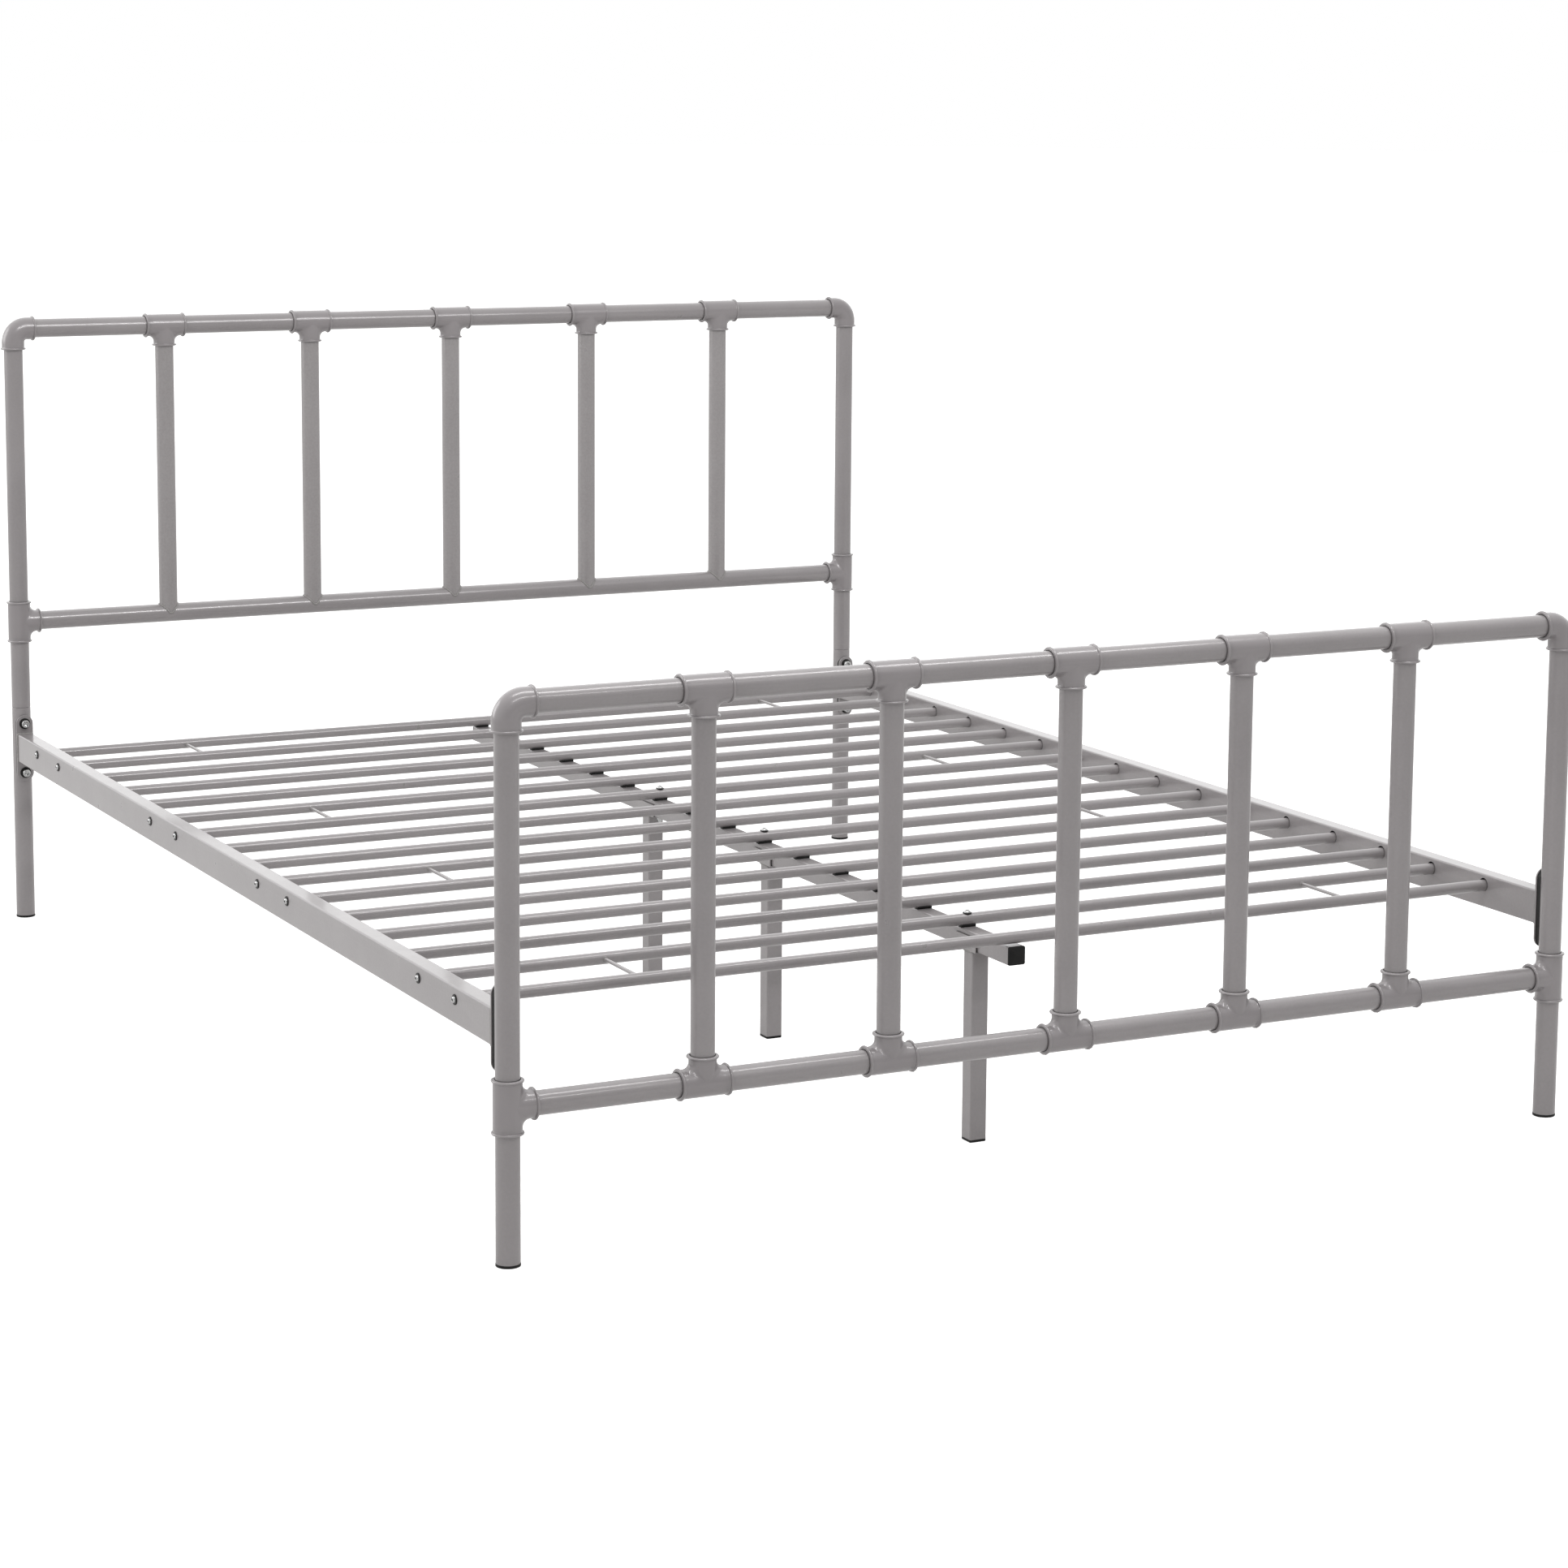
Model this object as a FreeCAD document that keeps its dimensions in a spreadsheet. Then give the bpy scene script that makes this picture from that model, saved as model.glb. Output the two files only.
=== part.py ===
import FreeCAD, Part
import Sketcher
import os

# Queen-size tube bed frame. Millimetres, +Z up, X across the bed, head end at +Y.
# The origin is on the floor, under the middle of the frame.

SIZES = [
    ("post_span", 1550.0, "left post axis to right post axis"),
    ("board_span", 2100.0, "footboard axis to headboard axis"),
    ("tube_dia", 30.5, "outside diameter of posts, board rails and spindles"),
    ("tube_wall", 1.5, "wall of every round and square tube"),
    ("head_top", 990.0, "height of the headboard top rail axis"),
    ("head_bottom", 502.0, "height of the headboard bottom rail axis"),
    ("foot_top", 686.0, "height of the footboard top rail axis"),
    ("foot_bottom", 197.0, "height of the footboard bottom rail axis"),
    ("leg_joint", 358.0, "height where the headboard post plugs onto its leg"),
    ("spigot_length", 60.0, "reduced top of the leg inside the post"),
    ("fitting_dia", 36.5, "outside diameter of tees and elbows"),
    ("fitting_bore", 30.9, "inside diameter of tees and elbows"),
    ("branch_dia", 35.2, "outside diameter of a tee's branch"),
    ("bead_dia", 40.8, "diameter of the rolled bead round each mouth"),
    ("bead_width", 3.5, "width of that bead"),
    ("bead_round", 1.5, "rounding of that bead"),
    ("run_half", 34.0, "half length of a tee's run"),
    ("arm_length", 34.5, "corner or run axis to the mouth of an arm"),
    ("bend_radius", 22.0, "centre line radius of an elbow"),
    ("tee_fillet", 10.0, "fillet between a tee's run and branch"),
    ("end_gap", 0.5, "room between a hidden tube end and what it meets"),
    ("cope_clear", 0.1, "room between a coped spindle end and its rail"),
    ("thread_clear", 0.1, "room round a screw in its nut or plug"),
    ("leg_shoulder", 3.0, "solid ring under the leg's reduced top"),
    ("cap_flange", 3.5, "height of a foot cap below the tube"),
    ("cap_plug", 16.0, "plug of a cap inside the tube"),
    ("cap_dia", 31.1, "diameter of a round foot cap"),
    ("plug_clear", 0.2, "room round a plug inside its tube"),
    ("rail_width", 25.0, "side rail width"),
    ("rail_depth", 47.0, "side rail depth"),
    ("rail_low", 268.0, "underside of the side rails"),
    ("corner_round", 2.5, "outside corner radius of the square tubes"),
    ("plate_width", 28.0, "rail end plate width"),
    ("plate_thick", 2.5, "rail end plate thickness"),
    ("plate_bolts", 83.0, "distance between the two bolts of a plate"),
    ("plate_height", 290.5, "height of the middle of the plate"),
    ("saddle_width", 25.0, "black saddle between plate and post"),
    ("saddle_web", 1.2, "saddle thickness at its thinnest"),
    ("saddle_depth", 8.0, "saddle thickness at its edges"),
    ("saddle_clear", 0.05, "room between the saddle's hollow and the post"),
    ("bolt_dia", 8.0, "bolt between plate and post"),
    ("bolt_hole", 9.0, "clearance hole of that bolt"),
    ("bolt_head", 13.0, "socket head diameter"),
    ("bolt_head_tall", 7.0, "socket head height"),
    ("bolt_socket", 6.9, "hexagon socket across corners"),
    ("bolt_length", 18.0, "shank under the washer"),
    ("bolt_washer", 18.0, "washer diameter"),
    ("washer_thick", 1.6, "washer thickness"),
    ("nut_dia", 13.0, "nut welded inside the post"),
    ("nut_length", 7.5, "length of that nut"),
    ("nut_inset", 12.1, "post axis to the near face of that nut"),
    ("slat_dia", 16.0, "slat diameter"),
    ("slat_wall", 1.2, "slat wall"),
    ("slat_height", 299.0, "height of the slat axes"),
    ("slat_pitch", 122.0, "distance from slat to slat"),
    ("slat_hole", 18.5, "hole in the inner wall of the side rail"),
    ("hole_rise", 1.1, "hole axis above the slat axis"),
    ("tie_dia", 5.0, "rod welded between two slats"),
    ("tie_place", 535.0, "rod's distance from the middle of the bed"),
    ("screw_dia", 5.0, "screw through the side rail into a slat"),
    ("screw_hole", 5.5, "clearance hole of that screw"),
    ("screw_head", 8.2, "head diameter"),
    ("screw_head_tall", 2.6, "head height"),
    ("screw_socket", 4.4, "hexagon socket across corners"),
    ("screw_washer", 13.5, "black washer under that head"),
    ("screw_washer_thick", 1.2, "its thickness"),
    ("screw_length", 21.0, "shank of that screw"),
    ("insert_length", 20.0, "threaded plug in the end of a slat"),
    ("square_width", 25.0, "centre rail and centre leg width"),
    ("centre_half", 926.0, "middle of the bed to the centre rail's end caps"),
    ("centre_drop", 22.5, "slat axis to the centre rail axis"),
    ("end_cap_flange", 3.0, "flange of the centre rail's end cap"),
    ("pad_length", 22.0, "black pad along its slat"),
    ("pad_width", 10.0, "pad across its slat"),
    ("pad_height", 3.4, "pad height at its edges"),
    ("pad_clear", 0.1, "room between pad and slat"),
    ("bracket_length", 57.0, "channel bracket along the centre rail"),
    ("bracket_reach", 33.0, "leg axis to the bracket end past the bolt"),
    ("bracket_thick", 1.5, "bracket sheet"),
    ("bracket_ear", 19.0, "bracket side above the rail's underside"),
    ("bracket_clear", 1.5, "room between bracket side and rail"),
    ("leg_offset", 26.0, "centre bolt to the axis of its leg"),
    ("centre_bolt_dia", 6.0, "bolt through slat, centre rail and bracket"),
    ("centre_bolt_hole", 6.6, "clearance hole of that bolt"),
    ("centre_bolt_head", 9.0, "head diameter"),
    ("centre_bolt_head_tall", 3.0, "head height"),
    ("centre_bolt_socket", 4.6, "hexagon socket across corners"),
    ("centre_bolt_length", 54.0, "shank of the centre bolt"),
    ("centre_washer", 12.5, "black washer under that bolt's head"),
    ("centre_washer_thick", 1.0, "its thickness"),
    ("centre_nut_flats", 10.0, "nut across flats"),
    ("centre_nut_tall", 5.0, "nut height"),
]

SPINDLES = 5
SLATS = 16
DOME_SHARE = 0.35
TIED_PAIRS = [(1, 2), (6, 7), (10, 11), (15, 16)]
BOLTED_SLATS = [2, 7, 10, 15]
PADDED_SLATS = range(1, SLATS)

ALONG_X = FreeCAD.Rotation(FreeCAD.Vector(0, 1, 0), 90)
ALONG_Y = FreeCAD.Rotation(FreeCAD.Vector(1, 0, 0), -90)
UPRIGHT = FreeCAD.Rotation()
TURNED = FreeCAD.Rotation(FreeCAD.Vector(0, 0, 1), 180)

document = FreeCAD.newDocument("bed_frame")
sheet = document.addObject("Spreadsheet::Sheet", "Sizes")
nodes = []


def fill_sheet():
    for row, (alias, value, note) in enumerate(SIZES, start=1):
        sheet.set(f"A{row}", str(value))
        sheet.setAlias(f"A{row}", alias)
        sheet.set(f"B{row}", note)
    document.recompute()


def size(alias):
    return float(sheet.get(alias))


def bind(thing, **expressions):
    for name, expression in expressions.items():
        thing.setExpression(name, expression)


def place(thing, x, y, z, rotation=UPRIGHT):
    thing.Placement = FreeCAD.Placement(FreeCAD.Vector(x, y, z), rotation)
    return thing


def keep(thing, label):
    """Names a finished sub-part; its label is also its file's name."""
    thing.Label = label
    nodes.append(thing)
    return thing


# ---------------------------------------------------------------- building blocks


def cylinder(radius, height, x=0, y=0, z=0, rotation=UPRIGHT):
    thing = document.addObject("Part::Cylinder", "cylinder")
    bind(thing, Radius=radius, Height=height)
    return place(thing, x, y, z, rotation)


def fuse(things):
    thing = document.addObject("Part::MultiFuse", "fused")
    thing.Shapes = things
    thing.Refine = True
    return thing


def cut(base, tool):
    thing = document.addObject("Part::Cut", "cut")
    thing.Base = base
    thing.Tool = tool
    return thing


def group(master, placements):
    """Copies one master to every placement and groups the copies as separate solids."""
    copies = []
    for x, y, z, rotation in placements:
        copy = document.addObject("App::Link", "copy")
        copy.LinkedObject = master
        copies.append(place(copy, x, y, z, rotation))
    compound = document.addObject("Part::Compound", "group")
    compound.Links = copies
    return compound


def round_tube(radius, wall, height, x, y, z, rotation=UPRIGHT):
    outside = cylinder(radius, height, x, y, z, rotation)
    bore = cylinder(f"{radius} - {wall}", height, x, y, z, rotation)
    return cut(outside, bore)


def origin_plane(body, role):
    return next(part for part in body.Origin.OriginFeatures if part.Role == role)


def sketch_on(body, role, name):
    sketch = body.newObject("Sketcher::SketchObject", name)
    sketch.AttachmentSupport = [(origin_plane(body, role), "")]
    sketch.MapMode = "FlatFace"
    return sketch


def constrain(sketch, kind, *values, expression=None):
    """Adds a constraint; with an expression, its last value follows the spreadsheet."""
    index = sketch.addConstraint(Sketcher.Constraint(kind, *values))
    if expression:
        sketch.setExpression(f"Constraints[{index}]", expression)


def draw_rectangle(sketch, width, height):
    """A rectangle centred on the sketch's origin; width and height are expressions."""
    corners = [(-9, -9), (9, -9), (9, 9), (-9, 9)]
    first = sketch.GeometryCount
    for index, (x, y) in enumerate(corners):
        end_x, end_y = corners[(index + 1) % 4]
        line = Part.LineSegment(FreeCAD.Vector(x, y, 0), FreeCAD.Vector(end_x, end_y, 0))
        sketch.addGeometry(line)
    for index in range(4):
        constrain(sketch, "Coincident", first + index, 2, first + (index + 1) % 4, 1)
    constrain(sketch, "Horizontal", first)
    constrain(sketch, "Horizontal", first + 2)
    constrain(sketch, "Vertical", first + 1)
    constrain(sketch, "Vertical", first + 3)
    constrain(sketch, "Symmetric", first, 1, first + 2, 1, -1, 1)
    constrain(sketch, "DistanceX", first, 1, first, 2, 18.0, expression=width)
    constrain(sketch, "DistanceY", first + 1, 1, first + 1, 2, 18.0, expression=height)


def draw_circle(sketch, diameter, x="0", y="0"):
    """A circle whose centre and diameter are expressions."""
    index = sketch.addGeometry(Part.Circle(FreeCAD.Vector(1, 1, 0), FreeCAD.Vector(0, 0, 1), 2))
    constrain(sketch, "Diameter", index, 4.0, expression=diameter)
    constrain(sketch, "DistanceX", -1, 1, index, 3, 1.0, expression=x)
    constrain(sketch, "DistanceY", -1, 1, index, 3, 1.0, expression=y)


def draw_stadium(sketch, width, spacing):
    """Two half circles, spacing apart along the sketch's Y, joined by straight sides."""
    radius = size("plate_width") / 2
    half = size("plate_bolts") / 2
    up = FreeCAD.Vector(0, half, 0)
    down = FreeCAD.Vector(0, -half, 0)
    side = FreeCAD.Vector(radius, 0, 0)
    top = FreeCAD.Vector(0, half + radius, 0)
    bottom = FreeCAD.Vector(0, -half - radius, 0)
    sketch.addGeometry(Part.Arc(up + side, top, up - side))
    sketch.addGeometry(Part.LineSegment(up - side, down - side))
    sketch.addGeometry(Part.Arc(down - side, bottom, down + side))
    sketch.addGeometry(Part.LineSegment(down + side, up + side))
    for index in range(4):
        constrain(sketch, "Tangent", index, 2, (index + 1) % 4, 1)
    constrain(sketch, "PointOnObject", 0, 3, -2)
    constrain(sketch, "Symmetric", 0, 3, 2, 3, -1, 1)
    constrain(sketch, "DistanceY", 2, 3, 0, 3, 2 * half, expression=spacing)
    constrain(sketch, "DistanceX", 1, 1, 3, 2, 2 * radius, expression=width)


def pad(body, sketch, length, symmetric=False):
    feature = body.newObject("PartDesign::Pad", "pad")
    feature.Profile = sketch
    feature.Midplane = symmetric
    bind(feature, Length=length)
    document.recompute()
    return feature


def pocket(body, sketch, depth, reverse=False):
    """Cuts the sketch into the body and checks that material was really removed."""
    before = body.Shape.Volume
    feature = body.newObject("PartDesign::Pocket", "pocket")
    feature.Profile = sketch
    feature.Reversed = reverse
    bind(feature, Length=depth)
    document.recompute()
    if body.Shape.Volume >= before - 1.0:
        raise RuntimeError(f"a pocket in {body.Label} removed nothing")
    return feature


def round_long_edges(body, feature, direction, radius):
    """Fillets the four edges of a bar that run along one direction."""
    names = []
    for index, edge in enumerate(feature.Shape.Edges, start=1):
        along = abs(edge.tangentAt(edge.FirstParameter).dot(direction))
        if along > 0.999:
            names.append(f"Edge{index}")
    fillet = body.newObject("PartDesign::Fillet", "round")
    fillet.Base = (feature, names)
    bind(fillet, Radius=radius)
    document.recompute()
    return fillet


def square_tube(label, role, direction, width, depth, length):
    """A centred square or rectangular tube: a rounded bar with its middle cut away."""
    body = document.addObject("PartDesign::Body", label)
    section = sketch_on(body, role, "section")
    draw_rectangle(section, width, depth)
    bar = pad(body, section, length, symmetric=True)
    round_long_edges(body, bar, direction, "Sizes.corner_round")
    bore = sketch_on(body, role, "bore")
    draw_rectangle(bore, f"{width} - 2 * Sizes.tube_wall", f"{depth} - 2 * Sizes.tube_wall")
    hollow = pocket(body, bore, length)
    hollow.Midplane = True
    document.recompute()
    return body


# ---------------------------------------------------------------- fittings


def bead(x, y, z, rotation):
    """A rolled bead round the mouth of a fitting, starting at the given point."""
    ring = cylinder("Sizes.bead_dia / 2", "Sizes.bead_width", x, y, z, rotation)
    document.recompute()
    rounded = document.addObject("Part::Fillet", "bead")
    rounded.Base = ring
    radius = size("bead_round")
    circles = [
        index
        for index, edge in enumerate(ring.Shape.Edges, start=1)
        if edge.Curve.TypeId == "Part::GeomCircle"
    ]
    rounded.Edges = [(index, radius, radius) for index in circles]
    return rounded


def tee_master():
    """Run along X, branch down -Z, bored for the tubes."""
    half = size("run_half")
    arm = size("arm_length")
    width = size("bead_width")
    run = cylinder("Sizes.fitting_dia / 2", "2 * Sizes.run_half", -half, 0, 0, ALONG_X)
    branch = cylinder("Sizes.branch_dia / 2", "Sizes.arm_length", 0, 0, -arm)
    outside = fuse([run, branch])
    document.recompute()
    blended = document.addObject("Part::Fillet", "blend")
    blended.Base = outside
    radius = size("tee_fillet")
    seam = [
        index
        for index, edge in enumerate(outside.Shape.Edges, start=1)
        if edge.Curve.TypeId == "Part::GeomBSplineCurve"
    ]
    blended.Edges = [(index, radius, radius) for index in seam]
    beads = [
        bead(-half, 0, 0, ALONG_X),
        bead(half - width, 0, 0, ALONG_X),
        bead(0, 0, -arm, UPRIGHT),
    ]
    bores = fuse(
        [
            cylinder("Sizes.fitting_bore / 2", "2 * Sizes.run_half", -half, 0, 0, ALONG_X),
            cylinder("Sizes.fitting_bore / 2", "Sizes.arm_length", 0, 0, -arm),
        ]
    )
    return cut(fuse([blended] + beads), bores)


def bend(radius):
    """A quarter ring from straight down to straight along +X."""
    ring = document.addObject("Part::Torus", "bend")
    bind(ring, Radius1="Sizes.bend_radius", Radius2=radius)
    ring.Angle3 = 90
    centre = size("bend_radius")
    turn = FreeCAD.Rotation(FreeCAD.Vector(1, 0, 0), 90)
    quarter = FreeCAD.Rotation(FreeCAD.Vector(0, 1, 0), -90)
    return place(ring, centre, 0, -centre, quarter.multiply(turn))


def elbow_master():
    """One mouth down -Z, the other along +X; the corner of the axes is the origin."""
    arm = size("arm_length")
    centre = size("bend_radius")
    width = size("bead_width")
    straight = "Sizes.arm_length - Sizes.bend_radius"
    outside = fuse(
        [
            bend("Sizes.fitting_dia / 2"),
            cylinder("Sizes.fitting_dia / 2", straight, 0, 0, -arm),
            cylinder("Sizes.fitting_dia / 2", straight, centre, 0, 0, ALONG_X),
            bead(0, 0, -arm, UPRIGHT),
            bead(arm - width, 0, 0, ALONG_X),
        ]
    )
    inside = fuse(
        [
            bend("Sizes.fitting_bore / 2"),
            cylinder("Sizes.fitting_bore / 2", straight, 0, 0, -arm),
            cylinder("Sizes.fitting_bore / 2", straight, centre, 0, 0, ALONG_X),
        ]
    )
    return cut(outside, inside)


# ---------------------------------------------------------------- headboard and footboard


def spindle_places():
    span = size("post_span")
    pitch = span / (SPINDLES + 1)
    return [-span / 2 + pitch * (index + 1) for index in range(SPINDLES)]


def bolt_heights():
    middle = size("plate_height")
    half = size("plate_bolts") / 2
    return [middle - half, middle + half]


def board_fittings(end, y, top, bottom, tee, elbow):
    """Elbows, tees and post tees of one board."""
    side = size("post_span") / 2
    inward = {-1: ALONG_X, 1: ALONG_X.inverted()}
    keep(group(elbow, [(-side, y, top, UPRIGHT), (side, y, top, TURNED)]), f"{end}_elbows")
    tees = [(x, y, top, UPRIGHT) for x in spindle_places()]
    if end == "foot":
        upside_down = FreeCAD.Rotation(FreeCAD.Vector(1, 0, 0), 180)
        tees += [(x, y, bottom, upside_down) for x in spindle_places()]
    keep(group(tee, tees), f"{end}_tees")
    posts = [(-side, y, bottom, inward[1]), (side, y, bottom, inward[-1])]
    keep(group(tee, posts), f"{end}_post_tees")


def board_rails(end, y, top, bottom):
    """Top rail between the elbows, bottom rail between the posts."""
    side = size("post_span") / 2
    gap = size("end_gap")
    top_start = -side + size("bend_radius") + gap
    top_length = "Sizes.post_span - 2 * (Sizes.bend_radius + Sizes.end_gap)"
    low_start = -side + size("tube_dia") / 2 + gap
    low_length = "Sizes.post_span - Sizes.tube_dia - 2 * Sizes.end_gap"
    radius = "Sizes.tube_dia / 2"
    wall = "Sizes.tube_wall"
    keep(round_tube(radius, wall, top_length, top_start, y, top, ALONG_X), f"{end}_top_rail")
    keep(round_tube(radius, wall, low_length, low_start, y, bottom, ALONG_X), f"{end}_bottom_rail")


def spindles(end, y, top, bottom):
    """Headboard spindles are coped and welded on the bottom rail; the others end in tees."""
    clear = size("tube_dia") / 2 + size("end_gap")
    span = f"Sizes.{end}_top - Sizes.{end}_bottom - Sizes.tube_dia / 2 - Sizes.end_gap"
    for number, x in enumerate(spindle_places(), start=1):
        if end == "head":
            tube = round_tube("Sizes.tube_dia / 2", "Sizes.tube_wall", span, x, y, bottom)
            length = size("tube_dia") * 2
            rail = cylinder("Sizes.tube_dia / 2 + Sizes.cope_clear", "2 * Sizes.tube_dia")
            place(rail, x - length / 2, y, bottom, ALONG_X)
            tube = cut(tube, rail)
        else:
            span_low = f"{span} - Sizes.tube_dia / 2 - Sizes.end_gap"
            low = bottom + clear
            tube = round_tube("Sizes.tube_dia / 2", "Sizes.tube_wall", span_low, x, y, low)
        keep(tube, f"{end}_spindle_{number}")


def bolt_holes(x, y):
    """Cutters for the two clearance holes in the post wall that faces the bed."""
    radius = "Sizes.bolt_hole / 2"
    depth = "Sizes.tube_dia / 2"
    if y < 0:
        return fuse([cylinder(radius, depth, x, y, z, ALONG_Y) for z in bolt_heights()])
    start = y - size("tube_dia") / 2
    return fuse([cylinder(radius, depth, x, start, z, ALONG_Y) for z in bolt_heights()])


def head_posts(y):
    """Upper post tubes, and the legs that plug into them."""
    joint = size("leg_joint")
    post_length = "Sizes.head_top - Sizes.bend_radius - Sizes.end_gap - Sizes.leg_joint"
    leg_length = "Sizes.leg_joint - Sizes.cap_flange"
    spigot_radius = "Sizes.tube_dia / 2 - Sizes.tube_wall - Sizes.plug_clear"
    low = size("cap_flange")
    overlap = size("leg_shoulder")
    for side, x in (("left", -size("post_span") / 2), ("right", size("post_span") / 2)):
        post = round_tube("Sizes.tube_dia / 2", "Sizes.tube_wall", post_length, x, y, joint)
        keep(post, f"head_post_{side}")
        barrel = cylinder("Sizes.tube_dia / 2", leg_length, x, y, low)
        spigot = cylinder(spigot_radius, "Sizes.spigot_length", x, y, joint)
        bore_radius = "Sizes.tube_dia / 2 - Sizes.tube_wall"
        bore = cylinder(bore_radius, f"{leg_length} - Sizes.leg_shoulder", x, y, low)
        neck_length = "Sizes.spigot_length + 2 * Sizes.leg_shoulder"
        neck_radius = f"{spigot_radius} - Sizes.tube_wall"
        neck = cylinder(neck_radius, neck_length, x, y, joint - 2 * overlap)
        hollow = fuse([bore, neck, bolt_holes(x, y)])
        keep(cut(fuse([barrel, spigot]), hollow), f"head_leg_{side}")


def foot_posts(y):
    low = size("cap_flange")
    length = "Sizes.foot_top - Sizes.bend_radius - Sizes.end_gap - Sizes.cap_flange"
    for side, x in (("left", -size("post_span") / 2), ("right", size("post_span") / 2)):
        post = round_tube("Sizes.tube_dia / 2", "Sizes.tube_wall", length, x, y, low)
        keep(cut(post, bolt_holes(x, y)), f"foot_post_{side}")


def post_foot_caps():
    flange = cylinder("Sizes.cap_dia / 2", "Sizes.cap_flange")
    plug_radius = "Sizes.tube_dia / 2 - Sizes.tube_wall - Sizes.plug_clear"
    plug = cylinder(plug_radius, "Sizes.cap_flange + Sizes.cap_plug")
    corner_x = size("post_span") / 2
    corner_y = size("board_span") / 2
    corners = [(x, y, 0, UPRIGHT) for x in (-corner_x, corner_x) for y in (-corner_y, corner_y)]
    keep(group(fuse([flange, plug]), corners), "post_foot_caps")


# ---------------------------------------------------------------- side rails


def slat_places():
    """Slat 1 is at the head end."""
    pitch = size("slat_pitch")
    return {number: pitch * ((SLATS + 1) / 2 - number) for number in range(1, SLATS + 1)}


def screwed_slats():
    return [number for pair in TIED_PAIRS for number in pair]


def side_rails():
    """Rectangular tubes with slat holes inside and screw holes outside."""
    rail_length = (
        "Sizes.board_span - Sizes.tube_dia - 2 * (Sizes.saddle_web + Sizes.plate_thick)"
    )
    middle = size("rail_low") + size("rail_depth") / 2
    rise = size("slat_height") + size("hole_rise") - middle
    places = slat_places()
    for side, sign, rotation in (("left", -1, UPRIGHT), ("right", 1, TURNED)):
        body = square_tube(
            f"side_rail_{side}",
            "XZ_Plane",
            FreeCAD.Vector(0, 1, 0),
            "Sizes.rail_width",
            "Sizes.rail_depth",
            rail_length,
        )
        holes = sketch_on(body, "YZ_Plane", "slat_holes")
        for y in places.values():
            draw_circle(holes, "Sizes.slat_hole", str(y), str(rise))
        pocket(body, holes, "Sizes.rail_width", reverse=True)
        screws = sketch_on(body, "YZ_Plane", "screw_holes")
        for number in screwed_slats():
            height = rise - size("hole_rise")
            draw_circle(screws, "Sizes.screw_hole", str(places[number]), str(height))
        pocket(body, screws, "Sizes.rail_width")
        keep(place(body, sign * size("post_span") / 2, 0, middle, rotation), body.Name)


def stadium_plate(name, width, thickness, toward_post=False):
    """A plate with round ends and two bolt holes, its back on the XZ plane."""
    body = document.addObject("PartDesign::Body", name)
    outline = sketch_on(body, "XZ_Plane", "outline")
    draw_stadium(outline, width, "Sizes.plate_bolts")
    blank = pad(body, outline, thickness)
    blank.Reversed = toward_post
    document.recompute()
    holes = sketch_on(body, "XZ_Plane", "holes")
    draw_circle(holes, "Sizes.bolt_hole", "0", "Sizes.plate_bolts / 2")
    draw_circle(holes, "Sizes.bolt_hole", "0", "-Sizes.plate_bolts / 2")
    pocket(body, holes, thickness, reverse=not toward_post)
    return body


def saddle_body():
    """A plate hollowed on one side to sit against the round post."""
    body = stadium_plate("saddle", "Sizes.saddle_width", "Sizes.saddle_depth", True)
    hollow = sketch_on(body, "XY_Plane", "hollow")
    hollow_dia = "Sizes.tube_dia + 2 * Sizes.saddle_clear"
    draw_circle(hollow, hollow_dia, "0", "Sizes.tube_dia / 2 + Sizes.saddle_web")
    scoop = pocket(body, hollow, "2 * Sizes.plate_bolts")
    scoop.Midplane = True
    document.recompute()
    return body


def corner_placements(y_from_post, z):
    """The four rail ends; the plain rotation is for the head end."""
    x = size("post_span") / 2
    y = size("board_span") / 2 - y_from_post
    return [
        (-x, y, z, UPRIGHT),
        (x, y, z, UPRIGHT),
        (-x, -y, z, TURNED),
        (x, -y, z, TURNED),
    ]


def socket_screw(head_dia, head_tall, socket, shank_dia, length):
    """A screw along +Y: head below the origin's plane, shank above, hexagon socket."""
    radius = f"{head_dia} / 2"
    head_height = size(head_tall.split(".")[1])
    head = cylinder(radius, head_tall, 0, -head_height, 0, ALONG_Y)
    shank = cylinder(f"{shank_dia} / 2", length, 0, 0, 0, ALONG_Y)
    hexagon = document.addObject("Part::Prism", "socket")
    hexagon.Polygon = 6
    bind(hexagon, Circumradius=f"{socket} / 2", Height=f"{head_tall} / 2")
    place(hexagon, 0, -head_height, 0, ALONG_Y)
    document.recompute()
    domed = document.addObject("Part::Fillet", "dome")
    domed.Base = head
    edge_round = head_height * DOME_SHARE
    outer = [
        index
        for index, edge in enumerate(head.Shape.Edges, start=1)
        if edge.Curve.TypeId == "Part::GeomCircle" and edge.CenterOfMass.y < -head_height / 2
    ]
    domed.Edges = [(index, edge_round, edge_round) for index in outer]
    return cut(fuse([domed, shank]), hexagon)


def ring(outer, bore, thickness, rotation=ALONG_Y):
    """A flat ring from the origin's plane along the axis of the rotation."""
    blank = cylinder(f"{outer} / 2", thickness, 0, 0, 0, rotation)
    return cut(blank, cylinder(f"{bore} / 2", thickness, 0, 0, 0, rotation))


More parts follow.
